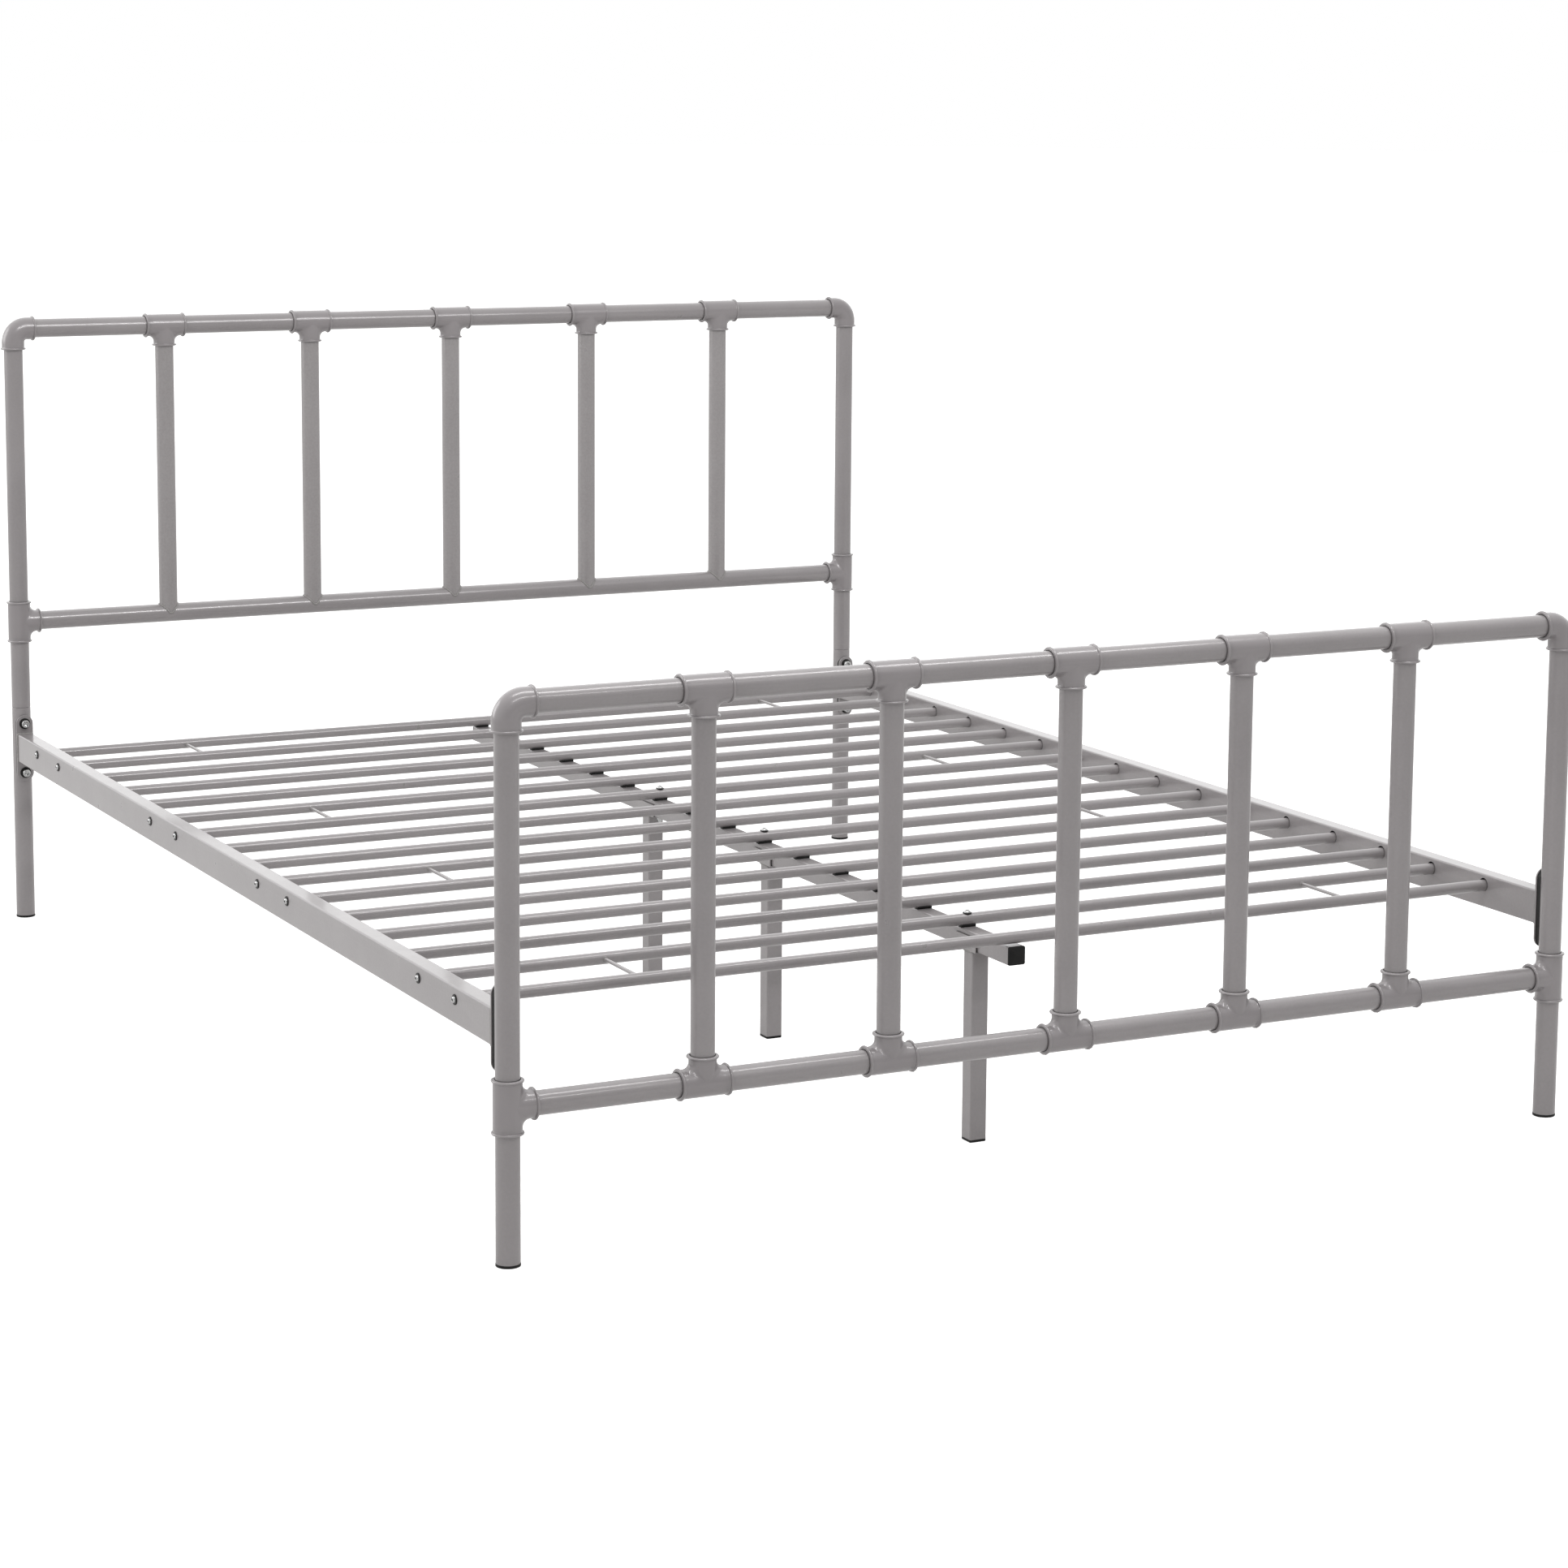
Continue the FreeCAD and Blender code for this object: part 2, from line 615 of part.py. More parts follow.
def rail_joints():
    """End plates, saddles, bolts, washers and nuts at the four posts."""
    saddle_back = size("tube_dia") / 2 + size("saddle_web")
    plate_face = saddle_back + size("plate_thick")
    washer_face = plate_face + size("washer_thick")
    plate = stadium_plate("plate", "Sizes.plate_width", "Sizes.plate_thick")
    places = corner_placements(saddle_back, size("plate_height"))
    keep(group(saddle_body(), places), "rail_saddles")
    keep(group(plate, places), "rail_end_plates")
    washer = ring("Sizes.bolt_washer", "Sizes.bolt_hole", "Sizes.washer_thick")
    bolt = socket_screw(
        "Sizes.bolt_head",
        "Sizes.bolt_head_tall",
        "Sizes.bolt_socket",
        "Sizes.bolt_dia",
        "Sizes.bolt_length",
    )
    nut_bore = "(Sizes.bolt_dia + 2 * Sizes.thread_clear)"
    nut = ring("Sizes.nut_dia", nut_bore, "Sizes.nut_length")
    places = {"washer": [], "bolt": [], "nut": []}
    for z in bolt_heights():
        places["washer"] += corner_placements(washer_face, z)
        places["bolt"] += corner_placements(washer_face, z)
        places["nut"] += corner_placements(size("nut_inset"), z)
    keep(group(washer, places["washer"]), "rail_bolt_washers")
    keep(group(bolt, places["bolt"]), "rail_bolts")
    keep(group(nut, places["nut"]), "post_nuts")


# ---------------------------------------------------------------- slats


def slat_tube(y, drilled):
    """One slat across the bed; a drilled one has the centre bolt's hole."""
    length = "Sizes.post_span + Sizes.rail_width - 2 * Sizes.tube_wall - 2 * Sizes.end_gap"
    half = (size("post_span") + size("rail_width")) / 2 - size("tube_wall") - size("end_gap")
    z = size("slat_height")
    tube = round_tube("Sizes.slat_dia / 2", "Sizes.slat_wall", length, -half, y, z, ALONG_X)
    if drilled:
        below = z - size("slat_dia")
        drill = cylinder("Sizes.centre_bolt_hole / 2", "2 * Sizes.slat_dia", 0, y, below)
        tube = cut(tube, drill)
    return tube


def slats():
    """Eight single slats, and four pairs tied by two welded rods each."""
    places = slat_places()
    for number in range(1, SLATS + 1):
        if number not in screwed_slats():
            keep(slat_tube(places[number], False), f"slat_{number:02d}")
    for pair_number, (first, second) in enumerate(TIED_PAIRS, start=1):
        pieces = [slat_tube(places[n], n in BOLTED_SLATS) for n in (first, second)]
        start = places[second] + size("slat_dia") / 2
        for x in (-size("tie_place"), size("tie_place")):
            length = "Sizes.slat_pitch - Sizes.slat_dia"
            rod = cylinder("Sizes.tie_dia / 2", length, x, start, size("slat_height"), ALONG_Y)
            pieces.append(rod)
        pair = document.addObject("Part::Compound", "pair")
        pair.Links = pieces
        keep(pair, f"tied_slats_{pair_number}")


def slat_screws():
    """Screws through the rails' outer walls into threaded plugs in the slat ends."""
    screw = socket_screw(
        "Sizes.screw_head",
        "Sizes.screw_head_tall",
        "Sizes.screw_socket",
        "Sizes.screw_dia",
        "Sizes.screw_length",
    )
    washer = ring("Sizes.screw_washer", "Sizes.screw_hole", "Sizes.screw_washer_thick")
    insert_dia = "(Sizes.slat_dia - 2 * Sizes.slat_wall - 2 * Sizes.thread_clear)"
    insert_bore = "(Sizes.screw_dia + 2 * Sizes.thread_clear)"
    insert = ring(insert_dia, insert_bore, "Sizes.insert_length")
    outside = (size("post_span") + size("rail_width")) / 2
    head_seat = outside + size("screw_washer_thick")
    slat_end = outside - size("tube_wall") - size("end_gap")
    from_left = FreeCAD.Rotation(FreeCAD.Vector(0, 0, 1), -90)
    from_right = FreeCAD.Rotation(FreeCAD.Vector(0, 0, 1), 90)
    z = size("slat_height")
    heads = []
    washers = []
    plugs = []
    for number in screwed_slats():
        y = slat_places()[number]
        heads += [(-head_seat, y, z, from_left), (head_seat, y, z, from_right)]
        washers += [(-head_seat, y, z, from_left), (head_seat, y, z, from_right)]
        plugs += [(-slat_end, y, z, from_left), (slat_end, y, z, from_right)]
    keep(group(screw, heads), "slat_screws")
    keep(group(washer, washers), "slat_screw_washers")
    keep(group(insert, plugs), "slat_end_inserts")


# ---------------------------------------------------------------- centre support


def centre_rail_height():
    return size("slat_height") - size("centre_drop")


def centre_rail():
    """Square tube under the slats, capped at both ends, with four bolt holes."""
    length = "2 * (Sizes.centre_half - Sizes.end_cap_flange)"
    middle = centre_rail_height()
    body = square_tube(
        "centre_rail",
        "XZ_Plane",
        FreeCAD.Vector(0, 1, 0),
        "Sizes.square_width",
        "Sizes.square_width",
        length,
    )
    holes = sketch_on(body, "XY_Plane", "bolt_holes")
    for number in BOLTED_SLATS:
        draw_circle(holes, "Sizes.centre_bolt_hole", "0", str(slat_places()[number]))
    through = pocket(body, holes, "2 * Sizes.square_width")
    through.Midplane = True
    keep(place(body, 0, 0, middle), "centre_rail")
    cap = square_cap("Sizes.end_cap_flange")
    end = size("centre_half")
    away = FreeCAD.Rotation(FreeCAD.Vector(1, 0, 0), 90)
    keep(
        group(cap, [(0, end, middle, away), (0, -end, middle, ALONG_Y)]),
        "centre_rail_caps",
    )


def square_block(name, width, height, z=0.0):
    """A block centred on the Z axis, standing on the given height."""
    block = document.addObject("Part::Box", name)
    bind(block, Length=width, Width=width, Height=height)
    document.recompute()
    return place(block, -block.Length.Value / 2, -block.Width.Value / 2, z)


def square_cap(flange):
    """A square plastic plug: flange on the XY plane, plug above it."""
    plug_width = "Sizes.square_width - 2 * Sizes.tube_wall - 2 * Sizes.plug_clear"
    base = square_block("flange", "Sizes.square_width", flange)
    plug = square_block("plug", plug_width, f"{flange} + Sizes.cap_plug")
    return fuse([base, plug])


def slat_pads():
    """Black pads under the slats on the centre rail; the last slat at the foot has none."""
    block = document.addObject("Part::Box", "pad")
    bind(block, Length="Sizes.pad_length", Width="Sizes.pad_width", Height="Sizes.pad_height")
    place(block, -size("pad_length") / 2, -size("pad_width") / 2, 0)
    rest = size("centre_drop") - size("square_width") / 2
    seat = cylinder("Sizes.slat_dia / 2 + Sizes.pad_clear", "2 * Sizes.pad_length")
    place(seat, -size("pad_length"), 0, rest, ALONG_X)
    hole = cylinder("Sizes.centre_bolt_hole / 2", "Sizes.pad_height")
    pad_shape = cut(block, fuse([seat, hole]))
    top = centre_rail_height() + size("square_width") / 2
    places = [(0, slat_places()[number], top, UPRIGHT) for number in PADDED_SLATS]
    keep(group(pad_shape, places), "slat_pads")


def bracket_master():
    """Channel bracket round the rail's underside, leg below, bolt hole at one end."""
    inner = size("square_width") + 2 * size("bracket_clear")
    reach = size("bracket_reach")
    thick = size("bracket_thick")
    block = document.addObject("Part::Box", "channel")
    bind(
        block,
        Length="Sizes.square_width + 2 * (Sizes.bracket_clear + Sizes.bracket_thick)",
        Width="Sizes.bracket_length",
        Height="Sizes.bracket_thick + Sizes.bracket_ear",
    )
    place(block, -inner / 2 - thick, -reach, -thick)
    room = document.addObject("Part::Box", "room")
    bind(
        room,
        Length="Sizes.square_width + 2 * Sizes.bracket_clear",
        Width="Sizes.bracket_length",
        Height="Sizes.bracket_ear",
    )
    place(room, -inner / 2, -reach, 0)
    bolt_y = -size("leg_offset")
    hole = cylinder("Sizes.centre_bolt_hole / 2", "Sizes.bracket_thick", 0, bolt_y, -thick)
    return cut(block, fuse([room, hole]))


def centre_legs():
    """Four square legs, each welded under a channel bracket beside a bolted slat."""
    underside = centre_rail_height() - size("square_width") / 2
    top = underside - size("bracket_thick")
    low = size("cap_flange")
    bracket = bracket_master()
    cap = square_cap("Sizes.cap_flange")
    caps = []
    for number, slat in enumerate(BOLTED_SLATS, start=1):
        y = slat_places()[slat]
        outward = 1 if y > 0 else -1
        leg_y = y + outward * size("leg_offset")
        tube = square_tube(
            "leg_tube",
            "XY_Plane",
            FreeCAD.Vector(0, 0, 1),
            "Sizes.square_width",
            "Sizes.square_width",
            str(top - low),
        )
        place(tube, 0, leg_y, (top + low) / 2)
        channel = document.addObject("App::Link", "bracket")
        channel.LinkedObject = bracket
        place(channel, 0, leg_y, underside, UPRIGHT if outward > 0 else TURNED)
        leg = document.addObject("Part::Compound", "leg")
        leg.Links = [tube, channel]
        keep(leg, f"centre_leg_{number}")
        caps.append((0, leg_y, 0, UPRIGHT))
    keep(group(cap, caps), "centre_leg_caps")


def centre_bolts():
    """Bolts down through slat, pad, rail and bracket, with washers and nuts."""
    screw = socket_screw(
        "Sizes.centre_bolt_head",
        "Sizes.centre_bolt_head_tall",
        "Sizes.centre_bolt_socket",
        "Sizes.centre_bolt_dia",
        "Sizes.centre_bolt_length",
    )
    washer = ring(
        "Sizes.centre_washer",
        "Sizes.centre_bolt_hole",
        "Sizes.centre_washer_thick",
        UPRIGHT,
    )
    prism = document.addObject("Part::Prism", "nut")
    prism.Polygon = 6
    corner = "Sizes.centre_nut_flats / sqrt(3)"
    bind(prism, Circumradius=corner, Height="Sizes.centre_nut_tall")
    bore = cylinder("Sizes.centre_bolt_dia / 2 + Sizes.thread_clear", "Sizes.centre_nut_tall")
    nut = cut(prism, bore)
    slat_top = size("slat_height") + size("slat_dia") / 2
    head_seat = slat_top + size("centre_washer_thick")
    underside = centre_rail_height() - size("square_width") / 2 - size("bracket_thick")
    nut_low = underside - size("centre_nut_tall")
    downward = FreeCAD.Rotation(FreeCAD.Vector(1, 0, 0), -90)
    ys = [slat_places()[number] for number in BOLTED_SLATS]
    keep(group(screw, [(0, y, head_seat, downward) for y in ys]), "centre_bolts")
    keep(group(washer, [(0, y, slat_top, UPRIGHT) for y in ys]), "centre_bolt_washers")
    keep(group(nut, [(0, y, nut_low, UPRIGHT) for y in ys]), "centre_bolt_nuts")


# ---------------------------------------------------------------- build and export


def build():
    fill_sheet()
    head_y = size("board_span") / 2
    tee = tee_master()
    elbow = elbow_master()
    for end, y in (("head", head_y), ("foot", -head_y)):
        top = size(f"{end}_top")
        bottom = size(f"{end}_bottom")
        board_rails(end, y, top, bottom)
        spindles(end, y, top, bottom)
        board_fittings(end, y, top, bottom, tee, elbow)
    head_posts(head_y)
    foot_posts(-head_y)
    post_foot_caps()
    side_rails()
    rail_joints()
    slats()
    slat_screws()
    centre_rail()
    slat_pads()
    centre_legs()
    centre_bolts()
    document.recompute()


def check():
    """Every object has to be valid, and every sub-part a valid set of solids."""
    for thing in document.Objects:
        if "Invalid" in thing.State or "Error" in thing.State:
            raise RuntimeError(f"{thing.Name} ({thing.Label}) failed: {thing.State}")
    for thing in nodes:
        if thing.Shape.isNull() or not thing.Shape.isValid() or not thing.Shape.Solids:
            raise RuntimeError(f"{thing.Label} has no valid shape")


def export():
    os.makedirs("parts", exist_ok=True)
    for thing in nodes:
        thing.Shape.exportStep(f"parts/{thing.Label}.step")
        print(thing.Label, len(thing.Shape.Solids), round(thing.Shape.Volume))


build()
check()
export()
print(len(nodes), "nodes")
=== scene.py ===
from math import asin, atan2, copysign, cos, hypot, inf, pi, radians, sin, sqrt, tau

import bmesh
import bpy
from mathutils import Matrix, Vector


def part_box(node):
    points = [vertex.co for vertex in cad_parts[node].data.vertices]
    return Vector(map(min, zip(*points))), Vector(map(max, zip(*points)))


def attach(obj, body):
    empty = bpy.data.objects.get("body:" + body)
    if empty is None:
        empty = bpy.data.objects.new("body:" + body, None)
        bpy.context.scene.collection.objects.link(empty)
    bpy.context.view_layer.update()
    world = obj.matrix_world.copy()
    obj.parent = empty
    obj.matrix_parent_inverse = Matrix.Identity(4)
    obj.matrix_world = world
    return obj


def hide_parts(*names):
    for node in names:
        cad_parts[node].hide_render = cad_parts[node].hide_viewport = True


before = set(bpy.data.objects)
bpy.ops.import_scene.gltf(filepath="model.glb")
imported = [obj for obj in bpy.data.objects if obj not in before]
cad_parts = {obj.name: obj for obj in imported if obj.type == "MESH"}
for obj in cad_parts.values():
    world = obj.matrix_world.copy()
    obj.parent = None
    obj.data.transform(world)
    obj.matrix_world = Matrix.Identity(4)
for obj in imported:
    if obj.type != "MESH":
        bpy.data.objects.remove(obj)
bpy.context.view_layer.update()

MM = 0.001
X = Vector((1, 0, 0))
Y = Vector((0, 1, 0))
Z = Vector((0, 0, 1))

# Round tube, and the pipe fittings on it: radii, then lengths from where the axes cross.
TUBE = 15.25 * MM
WALL = 1.5 * MM
FITTING = 18.25 * MM
BRANCH = 17.6 * MM
FITTING_BORE = 15.45 * MM
BEAD = 20.4 * MM
BEAD_WIDTH = 3.5 * MM
BARREL_END = BEAD_WIDTH + 1.2 * MM
RUN_HALF = 34.0 * MM
ARM = 34.5 * MM
BEND = 22.0 * MM
TEE_FILLET = 10.0 * MM

# Square tube, slats, and what fastens them.
SQUARE_CORNER = 2.5 * MM
SLAT_WALL = 1.2 * MM
SLAT_HOLE = 9.25 * MM
SLAT_HOLE_LIFT = 1.1 * MM
SCREW_HOLE = 2.75 * MM
BOLT_HOLE = 3.3 * MM
DRILL_REACH = 6 * MM
TIE_ROD_X = 535.0 * MM
PLATE = 2.5 * MM
RAIL_BOLT_OFFSET = 41.5 * MM
RAIL_WASHER = 1.6 * MM
SCREW_WASHER = 1.2 * MM
CENTRE_WASHER = 1.0 * MM
NUT_TALL = 5.0 * MM
SQUARE_CAP_PLUG = 16.0 * MM

# The channel brackets of the centre legs, measured from the leg's axis.
LEG_OFFSET = 26.0 * MM
BRACKET = 1.5 * MM
BRACKET_EAR = 19.0 * MM
BRACKET_ROOM = 3.0 * MM
BRACKET_OUTER_END = 33.0 * MM
BRACKET_INNER_END = 24.0 * MM

ENDS = {"head": 1, "foot": -1}
SIDES = {"left": -1, "right": 1}
SLATS = 16
SINGLE_SLATS = (3, 4, 5, 8, 9, 12, 13, 14)

# Places in SLAT_Y: the two slats of every tied pair, and the one of each pair that is
# bolted to the centre rail.
TIED_PAIRS = {1: (0, 1), 2: (5, 6), 3: (9, 10), 4: (14, 15)}
SCREWED = [index for pair in TIED_PAIRS.values() for index in pair]
BOLTED = [1, 6, 9, 14]

SMOOTH_BELOW = 35.0


# ---- materials


class Graph:
    """A node tree under construction, belonging to a material or to the world."""

    def __init__(self, owner):
        owner.use_nodes = True
        self.owner = owner
        self.nodes = owner.node_tree.nodes
        self.links = owner.node_tree.links

    def fill(self, node, inputs):
        """Links the sockets and sets the values given for a node's inputs."""
        for key, value in inputs.items():
            if isinstance(value, bpy.types.NodeSocket):
                self.links.new(value, node.inputs[key])
            else:
                node.inputs[key].default_value = value

    def add(self, kind, output, inputs=None, **settings):
        """Adds a node and returns one of its outputs."""
        node = self.nodes.new(kind)
        for setting, value in settings.items():
            setattr(node, setting, value)
        self.fill(node, inputs or {})
        return node.outputs[output]

    def seen_as(self, light, look):
        """One shader for the light a surface gives, another for how it looks itself."""
        inputs = {"Fac": self.add("ShaderNodeLightPath", "Is Camera Ray"), 1: light, 2: look}
        return self.add("ShaderNodeMixShader", "Shader", inputs)


class Finish(Graph):
    """A procedural material whose inputs vary with noise over the piece."""

    def __init__(self, name):
        super().__init__(bpy.data.materials.new(name))
        self.place = self.add("ShaderNodeTexCoord", "Object")

    def noise(self, scale, detail):
        inputs = {"Vector": self.place, "Scale": scale, "Detail": detail}
        return self.add("ShaderNodeTexNoise", "Fac", inputs)

    def tone(self, scale, detail, *stops):
        """Two colours blended by noise, each with its position on the ramp."""
        node = self.nodes.new("ShaderNodeValToRGB")
        for element, (position, colour) in zip(node.color_ramp.elements, stops):
            element.position = position
            element.color = (*colour, 1.0)
        self.fill(node, {"Fac": self.noise(scale, detail)})
        return node.outputs["Color"]

    def gloss(self, scale, detail, low, high):
        inputs = {"Value": self.noise(scale, detail), "To Min": low, "To Max": high}
        return self.add("ShaderNodeMapRange", "Result", inputs)

    def relief(self, scale, detail, strength, distance, under=None):
        """Fine bumps, laid over the relief given."""
        inputs = {"Height": self.noise(scale, detail), "Strength": strength, "Distance": distance}
        if under is not None:
            inputs["Normal"] = under
        return self.add("ShaderNodeBump", "Normal", inputs)

    def blend(self, share, colour, other):
        inputs = {"Factor": share, "A": colour, "B": (*other, 1.0)}
        return self.add("ShaderNodeMix", "Result", inputs, data_type="RGBA")

    def worn_edges(self, colour, wear_colour, amount):
        """Lightens convex edges a little, broken up by noise."""
        pointed = self.add("ShaderNodeNewGeometry", "Pointiness")
        inputs = {"Value": pointed, "From Min": 0.53, "From Max": 0.62, "To Max": amount}
        edge = self.add("ShaderNodeMapRange", "Result", inputs)
        inputs = {0: edge, 1: self.noise(260.0, 3.0)}
        share = self.add("ShaderNodeMath", "Value", inputs, operation="MULTIPLY")
        return self.blend(share, colour, wear_colour)

    def painted_hollow_shade(self, colour, hollow_shade_colour, reach, amount):
        """Painted shade: darkens the colour in narrow gaps and sockets, where little light
        arrives.
        """
        open_air = self.add("ShaderNodeAmbientOcclusion", "AO", {"Distance": reach}, samples=6)
        inputs = {"Value": open_air, "From Min": 0.2, "From Max": 0.58}
        inputs.update({"To Min": amount, "To Max": 0.0})
        share = self.add("ShaderNodeMapRange", "Result", inputs)
        return self.blend(share, colour, hollow_shade_colour)

    def shade(self, inputs):
        """Fills in the Principled shader and returns the finished material."""
        self.fill(self.nodes["Principled BSDF"], inputs)
        return self.owner


def paint():
    """Glossy powder coat: warm grey, fine orange peel, soft variation in tone and gloss."""
    coat = Finish("grey_powder_coat")
    colour = coat.tone(9.0, 3.0, (0.3, (0.21, 0.1945, 0.1985)), (0.7, (0.234, 0.2175, 0.2215)))
    colour = coat.worn_edges(colour, (0.36, 0.35, 0.34), 0.5)
    peel = coat.relief(900.0, 2.0, 0.05, 0.0004)
    return coat.shade(
        {
            # Painted shade: the coat's colour turns near black in seams, fitting mouths and
            # narrow gaps.
            "Base Color": coat.painted_hollow_shade(colour, (0.03, 0.029, 0.028), 5.0 * MM, 0.9),
            "Roughness": coat.gloss(35.0, 4.0, 0.25, 0.34),
            "Normal": coat.relief(160.0, 1.0, 0.05, 0.001, peel),
            "Metallic": 0.12,
            "IOR": 1.55,
            "Coat Weight": 0.5,
            "Coat Roughness": 0.085,
        }
    )


def weld_paint():
    """The same coat lying over rougher weld metal."""
    coat = Finish("painted_weld")
    stops = (0.35, (0.205, 0.197, 0.191)), (0.65, (0.27, 0.26, 0.252))
    return coat.shade(
        {
            "Base Color": coat.tone(420.0, 4.0, *stops),
            "Roughness": coat.gloss(300.0, 2.0, 0.33, 0.5),
            "Normal": coat.relief(1500.0, 3.0, 0.25, 0.0004),
            "Metallic": 0.12,
        }
    )


def plastic(name, dark, light, gloss_low, gloss_high):
    """Black moulded plastic with a fine spark-eroded grain."""
    black = Finish(name)
    tone = black.tone(120.0, 4.0, (0.3, dark), (0.7, light))
    return black.shade(
        {
            "Base Color": black.worn_edges(tone, (0.03, 0.029, 0.028), 0.6),
            "Roughness": black.gloss(90.0, 3.0, gloss_low, gloss_high),
            "Normal": black.relief(2600.0, 2.0, 0.22, 0.0003),
            "Specular IOR Level": 0.25,
        }
    )


def zinc():
    """Bright plated steel with fine turning marks and a patchy passivated sheen."""
    steel = Finish("bright_zinc")
    tone = steel.tone(180.0, 4.0, (0.25, (0.4, 0.405, 0.415)), (0.75, (0.56, 0.56, 0.55)))
    return steel.shade(
        {
            # Painted shade: the plated colour turns near black in screw sockets and narrow gaps.
            "Base Color": steel.painted_hollow_shade(tone, (0.012, 0.012, 0.012), 3.0 * MM, 1.0),
            "Roughness": steel.gloss(700.0, 3.0, 0.16, 0.32),
            "Normal": steel.relief(2200.0, 2.0, 0.12, 0.0002),
            "Metallic": 1.0,
        }
    )


def black_oxide():
    """Blackened steel washers, slightly oily, brighter where the edge has rubbed."""
    steel = Finish("black_washer_steel")
    tone = steel.tone(240.0, 3.0, (0.3, (0.006, 0.006, 0.006)), (0.7, (0.012, 0.012, 0.011)))
    return steel.shade(
        {
            "Base Color": steel.worn_edges(tone, (0.06, 0.058, 0.056), 0.5),
            "Roughness": steel.gloss(150.0, 2.0, 0.3, 0.5),
            "Normal": steel.relief(1800.0, 2.0, 0.15, 0.0002),
            "Metallic": 0.3,
            "Specular IOR Level": 0.25,
        }
    )


PAINT = paint()
WELD = weld_paint()
BLACK = plastic("black_cap_plastic", (0.004, 0.004, 0.0042), (0.008, 0.0077, 0.0075), 0.42, 0.6)
RUBBER = plastic("black_pad_plastic", (0.004, 0.004, 0.004), (0.008, 0.0077, 0.0075), 0.55, 0.75)
ZINC = zinc()
OXIDE = black_oxide()


# ---- mesh helpers


def axis_of(node):
    """The middle of a CAD node."""
    low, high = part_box(node)
    return (low + high) / 2


def side_vectors(direction):
    """Two unit vectors square to a direction and to each other."""
    reference = Z if abs(direction.z) < 0.9 else X
    first = reference.cross(direction).normalized()
    return first, direction.cross(first).normalized()


class Surface:
    """Gathers rings of points into one closed surface."""

    def __init__(self):
        self.mesh = bmesh.new()

    def ring(self, points):
        return [self.mesh.verts.new(point) for point in points]

    def bridge(self, first, second, around=True):
        """Faces between two rows of points, which are rings unless told otherwise."""
        count = len(first)
        for index in range(count if around else count - 1):
            after = (index + 1) % count
            corners = (first[index], first[after], second[after], second[index])
            self.mesh.faces.new(corners)

    def loft(self, rings, closed=False):
        for first, second in zip(rings, rings[1:]):
            self.bridge(first, second)
        if closed:
            self.bridge(rings[-1], rings[0])
        return rings

    def fan(self, ring, centre):
        """Closes a ring onto a single point."""
        middle = self.mesh.verts.new(centre)
        count = len(ring)
        for index in range(count):
            self.mesh.faces.new((ring[index], ring[(index + 1) % count], middle))

    def data(self, name, sharp=SMOOTH_BELOW):
        bmesh.ops.recalc_face_normals(self.mesh, faces=self.mesh.faces)
        data = bpy.data.meshes.new(name)
        self.mesh.to_mesh(data)
        self.mesh.free()
        data.shade_smooth()
        data.set_sharp_from_angle(angle=radians(sharp))
        return data


def lofted(name, loops, closed=False, sharp=SMOOTH_BELOW):
    """A surface through loops of points: a closed ring, or a solid with flat end faces."""
    surface = Surface()
    rings = surface.loft([surface.ring(points) for points in loops], closed)
    if not closed:
        surface.mesh.faces.new(rings[0])
        surface.mesh.faces.new(rings[-1])
    return surface.data(name, sharp)


def angles(count):
    return [tau * index / count for index in range(count)]


def circle(centre, direction, radius, count):
    """Points round a centre; the radius can be a function of the angle."""
    first, second = side_vectors(direction)
    points = []
    for angle in angles(count):
        reach = radius(angle) if callable(radius) else radius
        points.append(centre + reach * (cos(angle) * first + sin(angle) * second))
    return points


def hexagon(half_flats, limit=inf):
    """The radius of a hexagon as a function of the angle, its corners cut at a limit."""

    def radius(angle):
        within = (angle % (tau / 6)) - tau / 12
        return min(half_flats / cos(within), limit)

    return radius


def added(name, data):
    """A new object in the scene."""
    item = bpy.data.objects.new(name, data)
    bpy.context.scene.collection.objects.link(item)
    return item


REPLACED = set()


def show(name, data, material, node=None, matrix=None):
    """Puts a piece of the object in the scene; the first piece of a CAD node replaces it."""
    piece = added(name, data)
    if not data.materials:
        data.materials.append(material)
    if matrix is not None:
        piece.matrix_world = matrix
    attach(piece, "root")
    if node and node not in REPLACED:
        REPLACED.add(node)
        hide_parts(node)
    return piece


def turned(name, profile, direction=Z, count=48, start=None, closed=False, sharp=SMOOTH_BELOW):
    """A turned part from (radius, distance) pairs; zero radii close it onto its axis."""
    surface = Surface()
    start = start or Vector()
    points = list(profile)
    first_tip = points.pop(0) if points[0][0] == 0 else None
    last_tip = points.pop() if points[-1][0] == 0 else None
    rings = []
    for radius, distance in points:
        centre = start + direction * distance
        rings.append(surface.ring(circle(centre, direction, radius, count)))
    surface.loft(rings, closed)
    if first_tip:
        surface.fan(rings[0], start + direction * first_tip[1])
    if last_tip:
        surface.fan(rings[-1], start + direction * last_tip[1])
    return surface.data(name, sharp)


def soft_profile(radius, length, edge):
    """The outside of a round part, its two rims broken by a small edge."""
    return [(radius - edge, 0), (radius, edge), (radius, length - edge), (radius - edge, length)]


def tube_profile(radius, wall, length):
    inside = radius - wall
    return soft_profile(radius, length, 0.4 * MM) + [(inside, length), (inside, 0)]


def tube_along(name, node, direction, wall=WALL, count=64):
    """Replaces a CAD tube with a finer one of the same size."""
    low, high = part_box(node)
    length = (high - low).dot(direction)
    middle = (low + high) / 2
    start = middle - direction * (length / 2)
    across = (high - low) - direction * length
    radius = max(across) / 2
    data = turned(name, tube_profile(radius, wall, length), direction, count, start, closed=True)
    show(name, data, PAINT, node)


def rod(name, radius, start, end, count=32):
    """A plain round bar with soft edges, closed at both ends."""
    direction = (end - start).normalized()
    length = (end - start).length
    edge = min(0.2 * MM, radius / 5)
    profile = [(0, 0)] + soft_profile(radius, length, edge) + [(0, length)]
    return turned(name, profile, direction, count, start)


